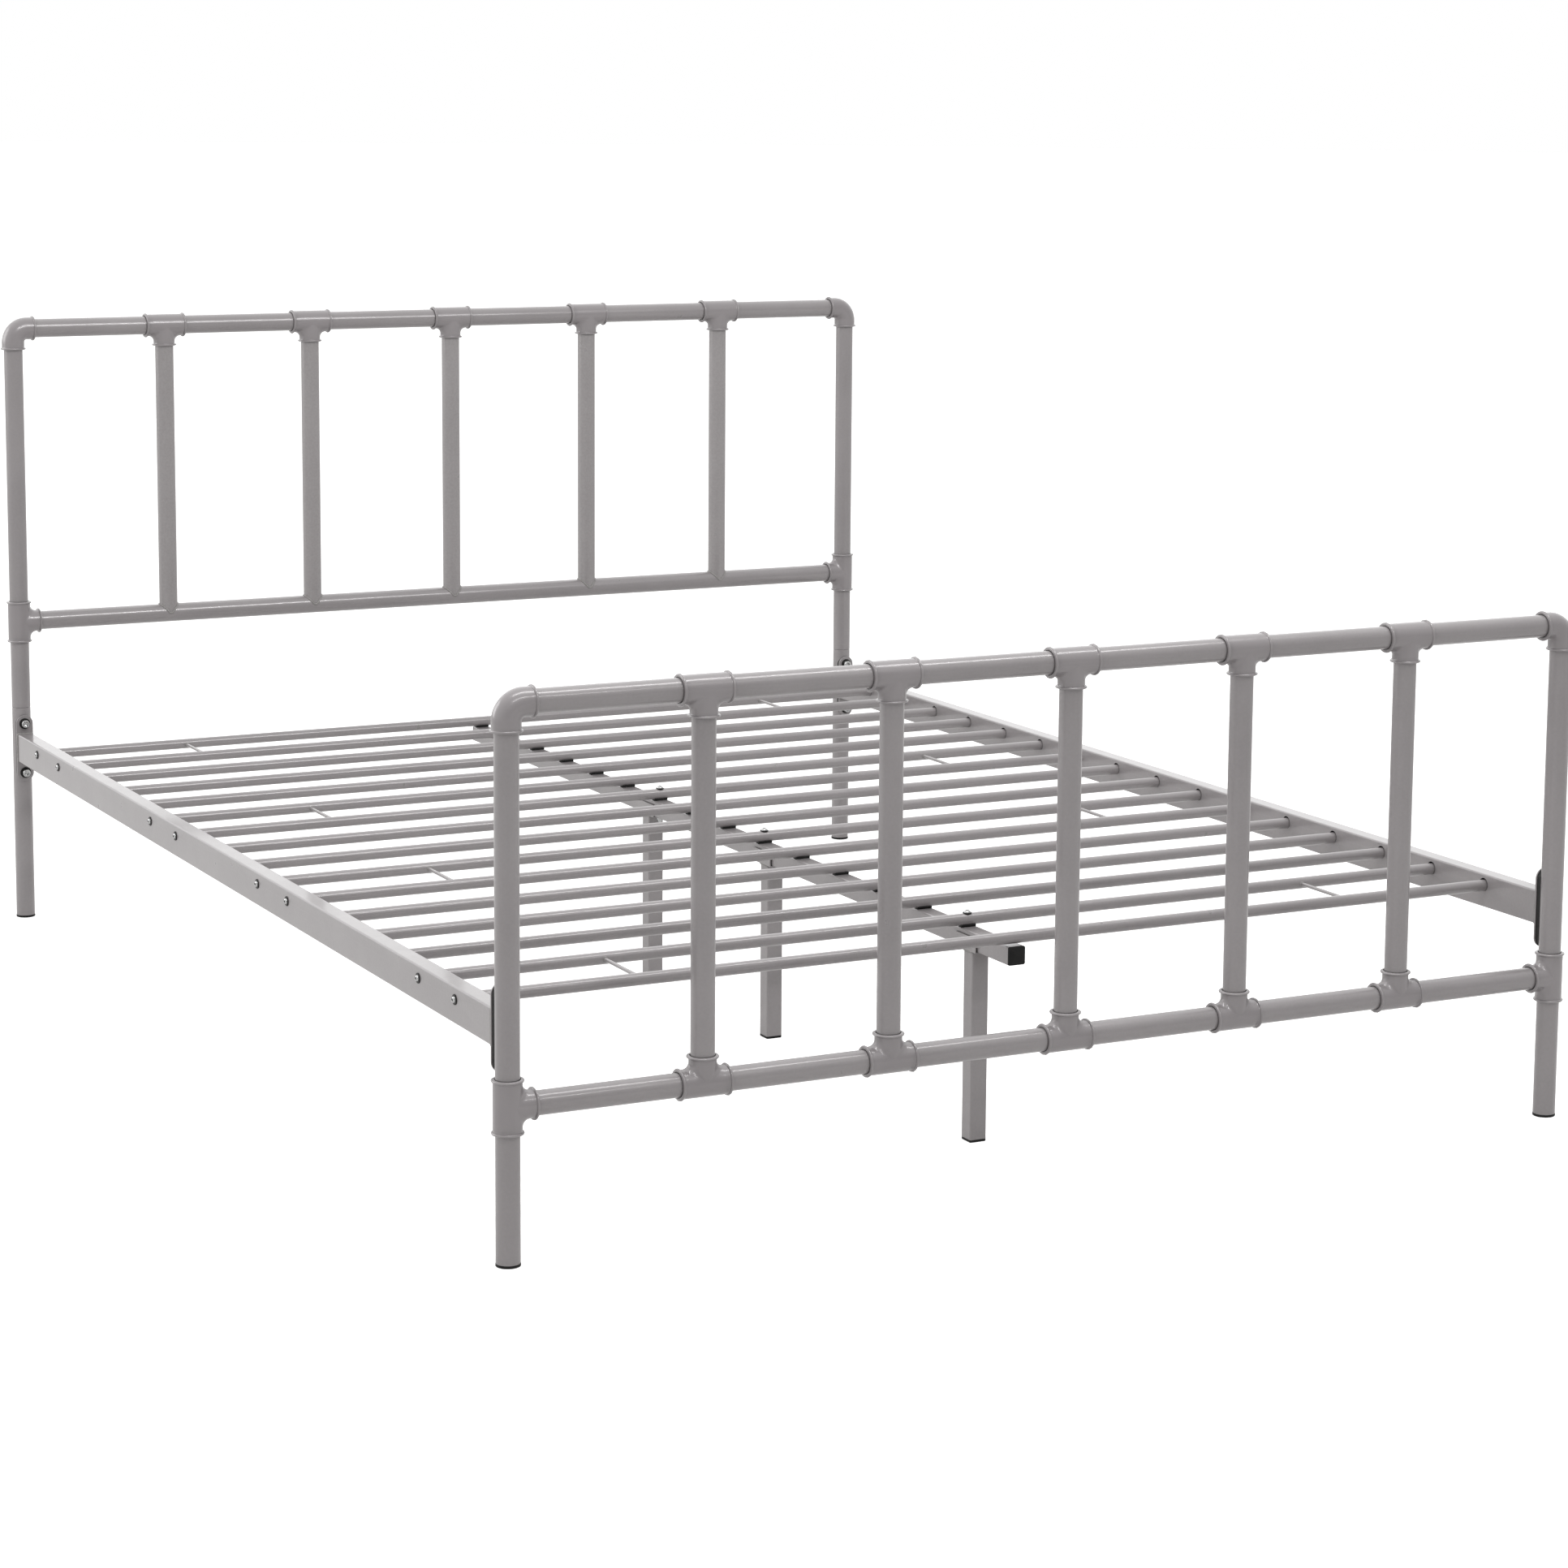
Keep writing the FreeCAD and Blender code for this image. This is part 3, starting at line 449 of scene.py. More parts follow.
def rounded_rectangle(width, depth, corner, steps=6):
    """Points of a rectangle with round corners, counter-clockwise."""
    points = []
    for index, (sx, sy) in enumerate(((1, 1), (-1, 1), (-1, -1), (1, -1))):
        for step in range(steps + 1):
            angle = pi / 2 * (index + step / steps)
            x = sx * (width / 2 - corner) + corner * cos(angle)
            y = sy * (depth / 2 - corner) + corner * sin(angle)
            points.append((x, y))
    return points


def square_tube(name, start, direction, across, along, width, depth, length):
    """A rectangular tube with rounded outer and inner corners and soft cut ends."""
    edge = 0.3 * MM
    inner = SQUARE_CORNER - WALL
    cut = (width - 2 * edge, depth - 2 * edge, SQUARE_CORNER - edge)
    outside = (width, depth, SQUARE_CORNER)
    inside = (width - 2 * WALL, depth - 2 * WALL, inner)
    loops = []
    for section, distance in (
        (cut, 0),
        (outside, edge),
        (outside, length - edge),
        (cut, length),
        (inside, length),
        (inside, 0),
    ):
        centre = start + direction * distance
        outline = rounded_rectangle(*section)
        loops.append([centre + across * x + along * y for x, y in outline])
    return lofted(name, loops, closed=True)


def drill(data, cutters):
    """Cuts cutter meshes out of a mesh and evens out its normals."""
    mesh = bmesh.new()
    for cutter in cutters:
        mesh.from_mesh(cutter)
    joined = bpy.data.meshes.new("drills")
    mesh.to_mesh(joined)
    mesh.free()
    base = added("drilled", data)
    tool = added("drills", joined)
    cut = base.modifiers.new("cut", "BOOLEAN")
    cut.operation = "DIFFERENCE"
    cut.solver = "EXACT"
    cut.object = tool
    graph = bpy.context.evaluated_depsgraph_get()
    graph.update()
    result = bpy.data.meshes.new_from_object(base.evaluated_get(graph))
    result.name = data.name
    bpy.data.objects.remove(tool)
    bpy.data.objects.remove(base)
    result.materials.clear()
    result.shade_smooth()
    result.set_sharp_from_angle(angle=radians(SMOOTH_BELOW))
    return result


def flatten_normals(piece):
    """Keeps large flat faces flat next to small rounded ones."""
    modifier = piece.modifiers.new("flat faces", "WEIGHTED_NORMAL")
    modifier.keep_sharp = True
    modifier.weight = 90


def weld_bead(name, path, radius, ripple):
    """A rippled bead laid round a closed path, half sunk into the metal on both sides."""
    surface = Surface()
    rings = []
    travelled = 0.0
    for index, point in enumerate(path):
        direction = (path[(index + 1) % len(path)] - path[index - 1]).normalized()
        travelled += (point - path[index - 1]).length if index else 0
        phase = travelled / ripple % 1.0
        swell = 1.0 + 0.16 * sqrt(1.0 - phase) - 0.08
        rings.append(surface.ring(circle(point, direction, radius * swell, 10)))
    for first, second in zip(rings, rings[1:] + rings[:1]):
        bridge_nearest(surface, first, second)
    show(name, surface.data(name, 60.0), WELD)


def bridge_nearest(surface, first, second):
    """Joins two rings after turning the second so that their points line up."""
    count = len(first)
    shift = min(range(count), key=lambda offset: (first[0].co - second[offset].co).length)
    surface.bridge(first, second[shift:] + second[:shift])


def square_weld(name, middle, along, width, depth, radius, ripple):
    """A bead round a rectangular tube, its width on X and its depth on another axis."""
    outline = rounded_rectangle(width + 0.4 * MM, depth + 0.4 * MM, SQUARE_CORNER, 5)
    path = []
    for (x, y), (after_x, after_y) in zip(outline, outline[1:] + outline[:1]):
        span = hypot(after_x - x, after_y - y)
        pieces = max(1, round(span / (0.7 * MM)))
        for step in range(pieces):
            across = X * (x + (after_x - x) * step / pieces)
            path.append(middle + across + along * (y + (after_y - y) * step / pieces))
    weld_bead(name, path, radius, ripple)


def rotation(angle, axis):
    return Matrix.Rotation(radians(angle), 3, axis)


def placed(x, y, z, turn=None):
    """The matrix that puts a mesh at a point, turned if asked."""
    place = Matrix.Translation((x, y, z))
    return place @ turn.to_4x4() if turn else place


# ---- fittings


def bead_profile(outer):
    """(radius, depth) pairs from a fitting's outside over its rolled bead into the bore."""
    middle = BEAD_WIDTH / 2
    thickness = (BEAD - outer) * 0.9
    points = [(outer, BEAD_WIDTH + 0.9 * MM), (outer + 0.25 * MM, BEAD_WIDTH + 0.25 * MM)]
    for step in range(9):
        angle = pi * step / 8
        radius = BEAD - thickness + thickness * sin(angle)
        points.append((radius, middle + middle * cos(angle)))
    lip = FITTING_BORE + 0.9 * MM
    points += [(lip + 0.2 * MM, 0), (lip, 0.2 * MM), (lip, 1.9 * MM), (FITTING_BORE, 2.0 * MM)]
    return points


def mouth(surface, ring, centre, outward, outer):
    """Turns an end ring of a fitting over its bead and into the bore; returns the last ring."""
    directions = [vertex.co - centre for vertex in ring]
    directions = [(d - outward * d.dot(outward)).normalized() for d in directions]
    rings = [ring]
    for radius, depth in bead_profile(outer):
        lip = centre - outward * depth
        rings.append(surface.ring([lip + d * radius for d in directions]))
    surface.loft(rings)
    return rings[-1]


def tee_mesh():
    """Run along X, branch down -Z, blended by a rolling-ball fillet, both bored."""
    surface = Surface()
    count, arc_steps, run_steps = 96, 10, 8
    reach = FITTING + TEE_FILLET
    branch_top, blends, feet = [], [], []
    for angle in angles(count):
        out = Vector((cos(angle), sin(angle), 0))
        ball = out * (BRANCH + TEE_FILLET)
        ball.z = -sqrt(reach**2 - ball.y**2)
        on_branch = out * BRANCH + Z * ball.z
        on_run = Vector((ball.x, ball.y * FITTING / reach, ball.z * FITTING / reach))
        branch_top.append(out * BRANCH - Z * (ARM - BARREL_END))
        blends.append(fillet_arc(ball, on_branch, on_run, arc_steps))
        feet.append((on_run.x, atan2(on_run.y, -on_run.z)))
    edge = RUN_HALF - BARREL_END
    borders = [rectangle_point(angle, edge) for angle in angles(count)]
    rings = [surface.ring(branch_top)]
    for step in range(arc_steps + 1):
        rings.append(surface.ring([blend[step] for blend in blends]))
    for step in range(1, run_steps + 1):
        share = step / run_steps
        points = []
        for (x, turn), (border_x, border_turn) in zip(feet, borders):
            turn += (border_turn - turn) * share
            points.append(on_cylinder(x + (border_x - x) * share, turn))
        rings.append(surface.ring(points))
    surface.loft(rings)
    bmesh.ops.remove_doubles(surface.mesh, verts=surface.mesh.verts, dist=0.002 * MM)
    open_ends = boundary_rings(surface.mesh)

    def open_end(direction, distance):
        """The open ring that lies furthest out in a direction."""
        limit = distance * 0.99
        for ring in open_ends:
            if min(ring[0].co.dot(direction), ring[3].co.dot(direction)) > limit:
                return ring

    left, right, low = open_end(-X, edge), open_end(X, edge), open_end(-Z, ARM - BARREL_END)
    left_bore = mouth(surface, left, -X * RUN_HALF, -X, FITTING)
    right_bore = mouth(surface, right, X * RUN_HALF, X, FITTING)
    join_bores(surface, left_bore, right_bore)
    low_bore = mouth(surface, low, -Z * ARM, -Z, BRANCH)
    depth = TUBE + 0.4 * MM
    floor = surface.ring([Vector((v.co.x, v.co.y, -depth)) for v in low_bore])
    surface.bridge(low_bore, floor)
    surface.fan(floor, -Z * depth)
    return surface.data("tee")


def fillet_arc(ball, start, end, steps):
    """Points on the ball between its two points of contact."""
    first = start - ball
    last = end - ball
    angle = first.angle(last)
    points = []
    for step in range(steps + 1):
        share = step / steps
        blend = first * sin((1 - share) * angle) + last * sin(share * angle)
        points.append(ball + blend / sin(angle))
    return points


def on_cylinder(x, turn):
    """A point of the run's outside; turn zero faces the branch."""
    return Vector((x, FITTING * sin(turn), -FITTING * cos(turn)))


def rectangle_point(angle, edge):
    """Point of the unrolled run's border met by the ray at an angle."""
    x, turn = cos(angle), sin(angle)
    if abs(x) >= cos(pi / 4) - 1e-9:
        return copysign(edge, x), pi * (turn / abs(x))
    return edge * x / abs(turn), copysign(pi, turn)


def boundary_rings(mesh):
    """Ordered loops of vertices along the open edges."""
    open_edges = [edge for edge in mesh.edges if len(edge.link_faces) == 1]
    rings = []
    while open_edges:
        ring = list(open_edges.pop(0).verts)
        while True:
            follow = next((e for e in ring[-1].link_edges if e in open_edges), None)
            if follow is None:
                break
            open_edges.remove(follow)
            ring.append(follow.other_vert(ring[-1]))
        if ring[-1] is ring[0]:
            ring.pop()
        rings.append(ring)
    return rings


def join_bores(surface, first, second):
    """Joins two bore rings that face each other, whichever way each one runs."""

    def gap(a, b):
        return (a.co.yz - b.co.yz).length

    start = min(range(len(second)), key=lambda index: gap(second[index], first[0]))
    forward = second[start:] + second[:start]
    backward = [forward[0]] + forward[:0:-1]
    order = min((forward, backward), key=lambda ring: sum(map(gap, first, ring)))
    surface.bridge(first, order)


def elbow_mesh():
    """A quarter bend from straight down to straight along +X, beaded and bored."""
    surface = Surface()
    count, bend_steps = 64, 16
    centre = Vector((BEND, 0, -BEND))
    stations = [(Vector((0, 0, -(ARM - BARREL_END))), -Z)]
    for step in range(bend_steps + 1):
        angle = pi / 2 * step / bend_steps
        out = Vector((-cos(angle), 0, sin(angle)))
        stations.append((centre + out * BEND, Vector((-sin(angle), 0, -cos(angle)))))
    stations.append((Vector((ARM - BARREL_END, 0, 0)), -X))

    def sweep(radius):
        rings = []
        for position, direction in stations:
            across = Y.cross(direction).normalized()
            points = []
            for angle in angles(count):
                points.append(position + radius * (cos(angle) * Y + sin(angle) * across))
            rings.append(surface.ring(points))
        return surface.loft(rings)

    outside = sweep(FITTING)
    inside = sweep(FITTING_BORE)
    low = mouth(surface, outside[0], -Z * ARM, -Z, FITTING)
    side = mouth(surface, outside[-1], X * ARM, X, FITTING)
    surface.bridge(low, inside[0])
    surface.bridge(side, inside[-1])
    return surface.data("elbow")


# ---- boards


def spindles(end):
    """Number and X of each spindle of a board."""
    return [(number, axis_of(f"{end}_spindle_{number}").x) for number in range(1, 6)]


def build_boards():
    tee = tee_mesh()
    elbow = elbow_mesh()
    for end in ENDS:
        top = axis_of(f"{end}_top_rail")
        bottom = axis_of(f"{end}_bottom_rail")
        post_x = axis_of(f"{end}_post_right").x
        tube_along(f"{end}_top_tube", f"{end}_top_rail", X)
        tube_along(f"{end}_bottom_tube", f"{end}_bottom_rail", X)
        for side in SIDES:
            tube_along(f"{end}_{side}_post_tube", f"{end}_post_{side}", Z)
        for number, x in spindles(end):
            show(f"{end}_top_tee_{number}", tee, PAINT, f"{end}_tees", placed(x, top.y, top.z))
        for side, sign in SIDES.items():
            x = sign * post_x
            corner = placed(x, top.y, top.z, rotation(180, "Z") if sign > 0 else None)
            show(f"{end}_{side}_elbow", elbow, PAINT, f"{end}_elbows", corner)
            meeting = placed(x, bottom.y, bottom.z, rotation(90 * sign, "Y"))
            show(f"{end}_{side}_post_tee", tee, PAINT, f"{end}_post_tees", meeting)
    bottom = axis_of("foot_bottom_rail")
    for number, x in spindles("foot"):
        place = placed(x, bottom.y, bottom.z, rotation(180, "X"))
        show(f"foot_bottom_tee_{number}", tee, PAINT, matrix=place)
        tube_along(f"foot_spindle_tube_{number}", f"foot_spindle_{number}", Z)
    coped_spindles()


def coped_spindles():
    """Headboard spindles: their lower ends are cut to the round rail and welded on."""
    rail = axis_of("head_bottom_rail")
    clear = TUBE + 0.1 * MM
    inner = TUBE - WALL
    for number, x in spindles("head"):
        node = f"head_spindle_{number}"
        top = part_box(node)[1].z
        middle = Vector((x, rail.y, 0))
        loops = []
        for radius, high in ((TUBE, False), (TUBE, True), (inner, True), (inner, False)):
            points = []
            for out in circle_out(radius, 72):
                low = rail.z + sqrt(max(clear**2 - out.y**2, 0))
                points.append(middle + out + Z * (top if high else low))
            loops.append(points)
        tube = lofted(f"spindle_{number}", loops, closed=True)
        show(f"head_spindle_tube_{number}", tube, PAINT, node)
        path = []
        for out in circle_out(TUBE + 0.2 * MM, 180):
            height = sqrt(max(TUBE**2 - out.y**2, (1.0 * MM) ** 2))
            path.append(middle + out + Z * (rail.z + height + 0.5 * MM))
        weld_bead(f"head_spindle_weld_{number}", path, 1.5 * MM, 2.6 * MM)


def circle_out(radius, count):
    """Vectors from an upright axis to points round it."""
    return [Vector((cos(a), sin(a), 0)) * radius for a in angles(count)]


def build_legs():
    """The headboard's lower legs with their shoulders, and the round foot caps."""
    inner = TUBE - WALL
    spigot = inner - 0.2 * MM
    neck = spigot - WALL
    for side in SIDES:
        node = f"head_leg_{side}"
        low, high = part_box(node)
        middle = (low + high) / 2
        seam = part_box(f"head_post_{side}")[0].z
        profile = [
            (inner, low.z),
            (TUBE - 0.4 * MM, low.z),
            (TUBE, low.z + 0.4 * MM),
            (TUBE, seam - 1.0 * MM),
            (TUBE - 0.9 * MM, seam),
            (spigot, seam),
            (spigot, high.z - 1.5 * MM),
            (spigot - 1.0 * MM, high.z),
            (neck, high.z),
            (neck, seam - 3 * MM),
            (inner, seam - 3 * MM),
        ]
        start = Vector((middle.x, middle.y, 0))
        data = turned(f"leg_{side}", profile, Z, 64, start, closed=True)
        show(f"head_leg_{side}_tube", data, PAINT, node)
    cap = foot_cap_mesh()
    for end in ENDS:
        for side in SIDES:
            tube = axis_of(f"{'head_leg' if end == 'head' else 'foot_post'}_{side}")
            place = placed(tube.x, tube.y, 0)
            show(f"{end}_{side}_foot_cap", cap, BLACK, "post_foot_caps", place)


def foot_cap_mesh():
    """Round plug: flat sole with a shallow ring groove, flange, ribbed plug."""
    outer = TUBE + 0.3 * MM
    plug = TUBE - WALL - 0.2 * MM
    flange = 3.5 * MM
    profile = [
        (0, 0.0),
        (9.0 * MM, 0.0),
        (9.6 * MM, 0.5 * MM),
        (10.6 * MM, 0.5 * MM),
        (11.2 * MM, 0.0),
        (outer - 0.9 * MM, 0.0),
        (outer - 0.25 * MM, 0.3 * MM),
        (outer, 1.0 * MM),
        (outer, flange - 0.5 * MM),
        (outer - 0.4 * MM, flange - 0.05 * MM),
        (plug, flange - 0.05 * MM),
    ]
    for rib in range(4):
        base = flange + (2.0 + rib * 3.5) * MM
        profile += [(plug, base), (plug - 0.8 * MM, base + 1.2 * MM), (plug, base + 2.4 * MM)]
    profile += [(plug - 1.0 * MM, 19.5 * MM), (0, 19.5 * MM)]
    return turned("foot_cap", profile, Z, 64)


# ---- side rails


def slat_positions():
    """Y of every slat, head end first, with the height and radius they share."""
    low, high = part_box("tied_slats_1")
    radius = (high.z - low.z) / 2
    pitch = (high.y - low.y) - 2 * radius
    head = high.y - radius
    return [head - pitch * index for index in range(SLATS)], (low.z + high.z) / 2, radius


SLAT_Y, SLAT_Z, SLAT_R = slat_positions()


def build_side_rails():
    for side, sign in SIDES.items():
        node = f"side_rail_{side}"
        low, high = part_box(node)
        size = high - low
        middle = (low + high) / 2
        start = Vector((middle.x, low.y, middle.z))
        data = square_tube(f"rail_{side}", start, Y, Z, X, size.z, size.x, size.y)
        inner_face = middle.x - sign * size.x / 2
        outer_face = middle.x + sign * size.x / 2
        reach = X * sign * DRILL_REACH
        cutters = []
        for y in SLAT_Y:
            hole = Vector((inner_face, y, SLAT_Z + SLAT_HOLE_LIFT))
            cutters.append(rod("slat_hole", SLAT_HOLE, hole - reach, hole + reach, 48))
        for index in SCREWED:
            hole = Vector((outer_face, SLAT_Y[index], SLAT_Z))
            cutters.append(rod("screw_hole", SCREW_HOLE, hole - reach, hole + reach))
        flatten_normals(show(f"side_rail_{side}_tube", drill(data, cutters), PAINT, node))


def stadium(width, height, count=24):
    """Outline with half-round ends, standing on its short side."""
    radius = width / 2
    straight = height / 2 - radius
    points = []
    for half, lift in ((0, straight), (1, -straight)):
        for step in range(count + 1):
            angle = pi * (half + step / count)
            points.append((radius * cos(angle), lift + radius * sin(angle)))
    return points


def stadium_plate(name, width, height, thickness, edge):
    """A plate in the XZ plane growing along +Y, its edges slightly rounded."""
    loops = []
    for inset, depth in ((edge, 0), (0, edge), (0, thickness - edge), (edge, thickness)):
        outline = stadium(width - 2 * inset, height - 2 * inset)
        loops.append([Vector((x, depth, z)) for x, z in outline])
    return lofted(name, loops)


def bolt_mesh():
    """Socket screw along +Y: knurled head behind the origin, shank in front."""
    count = 96
    head, tall, half_flats, deep = 6.5 * MM, 7.0 * MM, 3.0 * MM, 4.0 * MM
    shank, length = 4.0 * MM, 18.0 * MM
    socket = hexagon(half_flats)

    def knurl(angle):
        return head - 0.09 * MM * (round(angle / tau * count) % 2)

    profile = [
        (0, length),
        (shank - 0.1 * MM, length),
        (shank, length - 0.5 * MM),
        (shank, 0.0),
        (head - 0.3 * MM, 0.0),
        (knurl, -0.4 * MM),
        (knurl, -tall + 1.2 * MM),
        (head - 0.12 * MM, -tall + 1.0 * MM),
        (head - 0.3 * MM, -tall + 0.5 * MM),
        (head - 0.9 * MM, -tall),
        (half_flats * 1.3, -tall),
        (socket, -tall + 0.45 * MM),
        (socket, -tall + deep),
        (half_flats * 0.5, -tall + deep + 0.8 * MM),
        (0, -tall + deep + 1.0 * MM),
    ]
    return turned("rail_bolt", profile, Y, count, sharp=30.0)


def washer_mesh(name, outer, bore, thickness, direction=Y):
    edge = min(0.25 * MM, thickness / 4)
    profile = [(bore, 0)] + soft_profile(outer, thickness, edge)
    profile += [(bore + edge, thickness), (bore, thickness - edge)]
    return turned(name, profile, direction, 64, closed=True)


def saddle_mesh():
    """Black spacer: flat towards the plate, hollowed round the post."""
    width, height, depth, web = 25.0 * MM, 108.0 * MM, 8.0 * MM, 1.2 * MM
    clear = TUBE + 0.05 * MM
    centre = TUBE + web
    columns = 28
    straight = height / 2 - width / 2
    surface = Surface()
    lines = [[], [], [], []]
    for step in range(columns + 1):
        x = -cos(pi * step / columns) * (width / 2 - 0.05 * MM)
        tall = straight + sqrt((width / 2) ** 2 - x**2)
        reach = min(max(centre - sqrt(clear**2 - x**2), 0.0), depth)
        corners = ((0, tall), (reach, tall), (reach, -tall), (0, -tall))
        for line, (y, z) in zip(lines, corners):
            line.append(surface.mesh.verts.new((x, y, z)))
    for first, second in zip(lines, lines[1:] + lines[:1]):
        surface.bridge(first, second, around=False)
    for index in (0, columns):
        surface.mesh.faces.new([line[index] for line in lines])
    return surface.data("saddle", 50.0)


def build_rail_joints():
    saddle = saddle_mesh()
    low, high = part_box("rail_end_plates")
    middle_z = (low.z + high.z) / 2
    post_x = axis_of("foot_post_right").x
    plate = stadium_plate("end_plate", 28.0 * MM, 111.0 * MM, PLATE, 0.35 * MM)
    bolt = bolt_mesh()
    washer = washer_mesh("rail_washer", 9.0 * MM, 4.2 * MM, RAIL_WASHER)
    bolt_z = (middle_z - RAIL_BOLT_OFFSET, middle_z + RAIL_BOLT_OFFSET)
    for end, facing in ENDS.items():
        turn = None if facing > 0 else rotation(180, "Z")
        outer = facing * high.y
        inner = facing * (high.y - PLATE)
        seat = facing * (high.y - PLATE - RAIL_WASHER)
        for side, sign in SIDES.items():
            x = sign * post_x
            tag = f"{end}_{side}"
            place = placed(x, inner, middle_z, turn)
            show(f"{tag}_end_plate", plate, PAINT, "rail_end_plates", place)
            place = placed(x, outer, middle_z, turn)
            show(f"{tag}_saddle", saddle, BLACK, "rail_saddles", place)
            for number, z in enumerate(bolt_z, start=1):
                place = placed(x, seat, z, turn)
                show(f"{tag}_washer_{number}", washer, OXIDE, "rail_bolt_washers", place)
                show(f"{tag}_bolt_{number}", bolt, ZINC, "rail_bolts", place)
            rail_weld(tag, side, inner - facing * 0.5 * MM)


def rail_weld(tag, side, y):
    """The bead that joins the side rail to its end plate, all the way round."""
    low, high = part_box(f"side_rail_{side}")
    size = high - low
    middle = (low + high) / 2
    middle.y = y
    square_weld(f"{tag}_rail_weld", middle, Z, size.x, size.z, 1.6 * MM, 2.8 * MM)


# ---- slats


def build_slats():
    for number in SINGLE_SLATS:
        tube_along(f"slat_tube_{number:02d}", f"slat_{number:02d}", X, SLAT_WALL, 48)
    low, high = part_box("tied_slats_1")
    profile = tube_profile(SLAT_R, SLAT_WALL, high.x - low.x)
    for pair, places in TIED_PAIRS.items():
        for index in places:
            start = Vector((low.x, SLAT_Y[index], SLAT_Z))
            name = f"slat_tube_{index + 1:02d}"
            data = turned(name, profile, X, 48, start, closed=True)
            if index in BOLTED:
                middle = Vector((0, SLAT_Y[index], SLAT_Z))
                reach = Z * 2 * SLAT_R
                hole = rod("slat_drill", BOLT_HOLE, middle - reach, middle + reach)
                data = drill(data, [hole])
            show(name, data, PAINT, f"tied_slats_{pair}")
        overlap = SLAT_R - 0.3 * MM
        for side, sign in SIDES.items():
            x = sign * TIE_ROD_X
            start = Vector((x, SLAT_Y[places[1]] + overlap, SLAT_Z))
            end = Vector((x, SLAT_Y[places[0]] - overlap, SLAT_Z))
            tag = f"tie_rod_{pair}_{side}"
            show(tag, rod(tag, 2.5 * MM, start, end, 24), PAINT)
            for which, centre in (("near", start), ("far", end)):
                path = circle(centre, Y, 2.6 * MM, 40)
                weld_bead(f"{tag}_weld_{which}", path, 1.0 * MM, 1.7 * MM)


def screw_mesh(name, head, tall, half_flats, shank, length):
    """Button-head screw along +Y with a hexagon socket."""
    profile = [(0, length), (shank - 0.3 * MM, length), (shank, length - 0.5 * MM), (shank, 0)]
    steps = 6
    last_angle = pi / 2 * 0.86
    for step in range(steps + 1):
        angle = last_angle * step / steps
        radius = max(head * cos(angle) ** 0.75, half_flats * 1.25)
        profile.append((radius, -tall * sin(angle) / sin(last_angle)))
    socket = hexagon(half_flats)
    profile += [(socket, -tall + 0.25 * MM), (socket, -tall * 0.35), (0, -tall * 0.3)]
    return turned(name, profile, Y, 72, sharp=30.0)


def build_slat_screws():
    screw = screw_mesh("slat_screw", 4.1 * MM, 2.6 * MM, 1.9 * MM, 2.5 * MM, 21.0 * MM)
    washer = washer_mesh("screw_washer", 6.75 * MM, SCREW_HOLE, SCREW_WASHER)
    for side, sign in SIDES.items():
        low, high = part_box(f"side_rail_{side}")
        face = high.x if sign > 0 else low.x
        for index in SCREWED:
            tag = f"{side}_{index + 1:02d}"
            seat = face + sign * SCREW_WASHER
            place = placed(seat, SLAT_Y[index], SLAT_Z, rotation(90 * sign, "Z"))
            show(f"slat_screw_{tag}", screw, ZINC, "slat_screws", place)
            show(f"slat_washer_{tag}", washer, OXIDE, "slat_screw_washers", place)


# ---- centre support


def build_centre():
    low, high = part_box("centre_rail")
    size = high - low
    middle = (low + high) / 2
    start = Vector((0, low.y, middle.z))
    data = square_tube("centre", start, Y, X, Z, size.x, size.z, size.y)
    cutters = []
    for index in BOLTED:
        hole = Vector((0, SLAT_Y[index], middle.z))
        ends = (hole - Z * size.z, hole + Z * size.z)
        cutters.append(rod("bolt_hole", BOLT_HOLE, *ends))
    flatten_normals(show("centre_rail_tube", drill(data, cutters), PAINT, "centre_rail"))
    cap = square_cap_mesh("square_end_cap", size.x, 3.0 * MM)
    cap_low, cap_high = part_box("centre_rail_caps")
    for end, y in (("head", cap_high.y), ("foot", cap_low.y)):
        place = placed(0, y, middle.z, rotation(90 * ENDS[end], "X"))
        show(f"centre_cap_{end}", cap, BLACK, "centre_rail_caps", place)
    build_pads(high.z)
    build_centre_legs(low.z, size.x)
    build_centre_bolts(low.z)


def square_cap_mesh(name, width, flange):
    """Square plug: soft-edged flange with a ribbed plug above it."""
    plug = width - 2 * WALL - 0.4 * MM
    top = flange + SQUARE_CAP_PLUG
    loops = [
        (width - 1.6 * MM, 1.8 * MM, 0.0),
        (width - 0.5 * MM, 2.3 * MM, 0.35 * MM),
        (width, 2.5 * MM, 1.1 * MM),
        (width, 2.5 * MM, flange - 0.25 * MM),
        (width - 0.4 * MM, 2.3 * MM, flange - 0.02 * MM),
        (plug, 1.0 * MM, flange - 0.02 * MM),
    ]
    for rib in range(4):
        base = flange + (1.5 + rib * 3.6) * MM
        loops.append((plug, 1.0 * MM, base))
        loops.append((plug - 1.2 * MM, 0.8 * MM, base + 1.2 * MM))
        loops.append((plug, 1.0 * MM, base + 2.4 * MM))
    loops.append((plug - 1.0 * MM, 0.6 * MM, top))
    surface = Surface()
    rings = []
    for loop_width, corner, height in loops:
        outline = rounded_rectangle(loop_width, loop_width, corner)
        rings.append(surface.ring([Vector((x, y, height)) for x, y in outline]))
    surface.loft(rings)
    surface.fan(rings[0], Vector())
    surface.fan(rings[-1], Z * top)
    return surface.data(name)


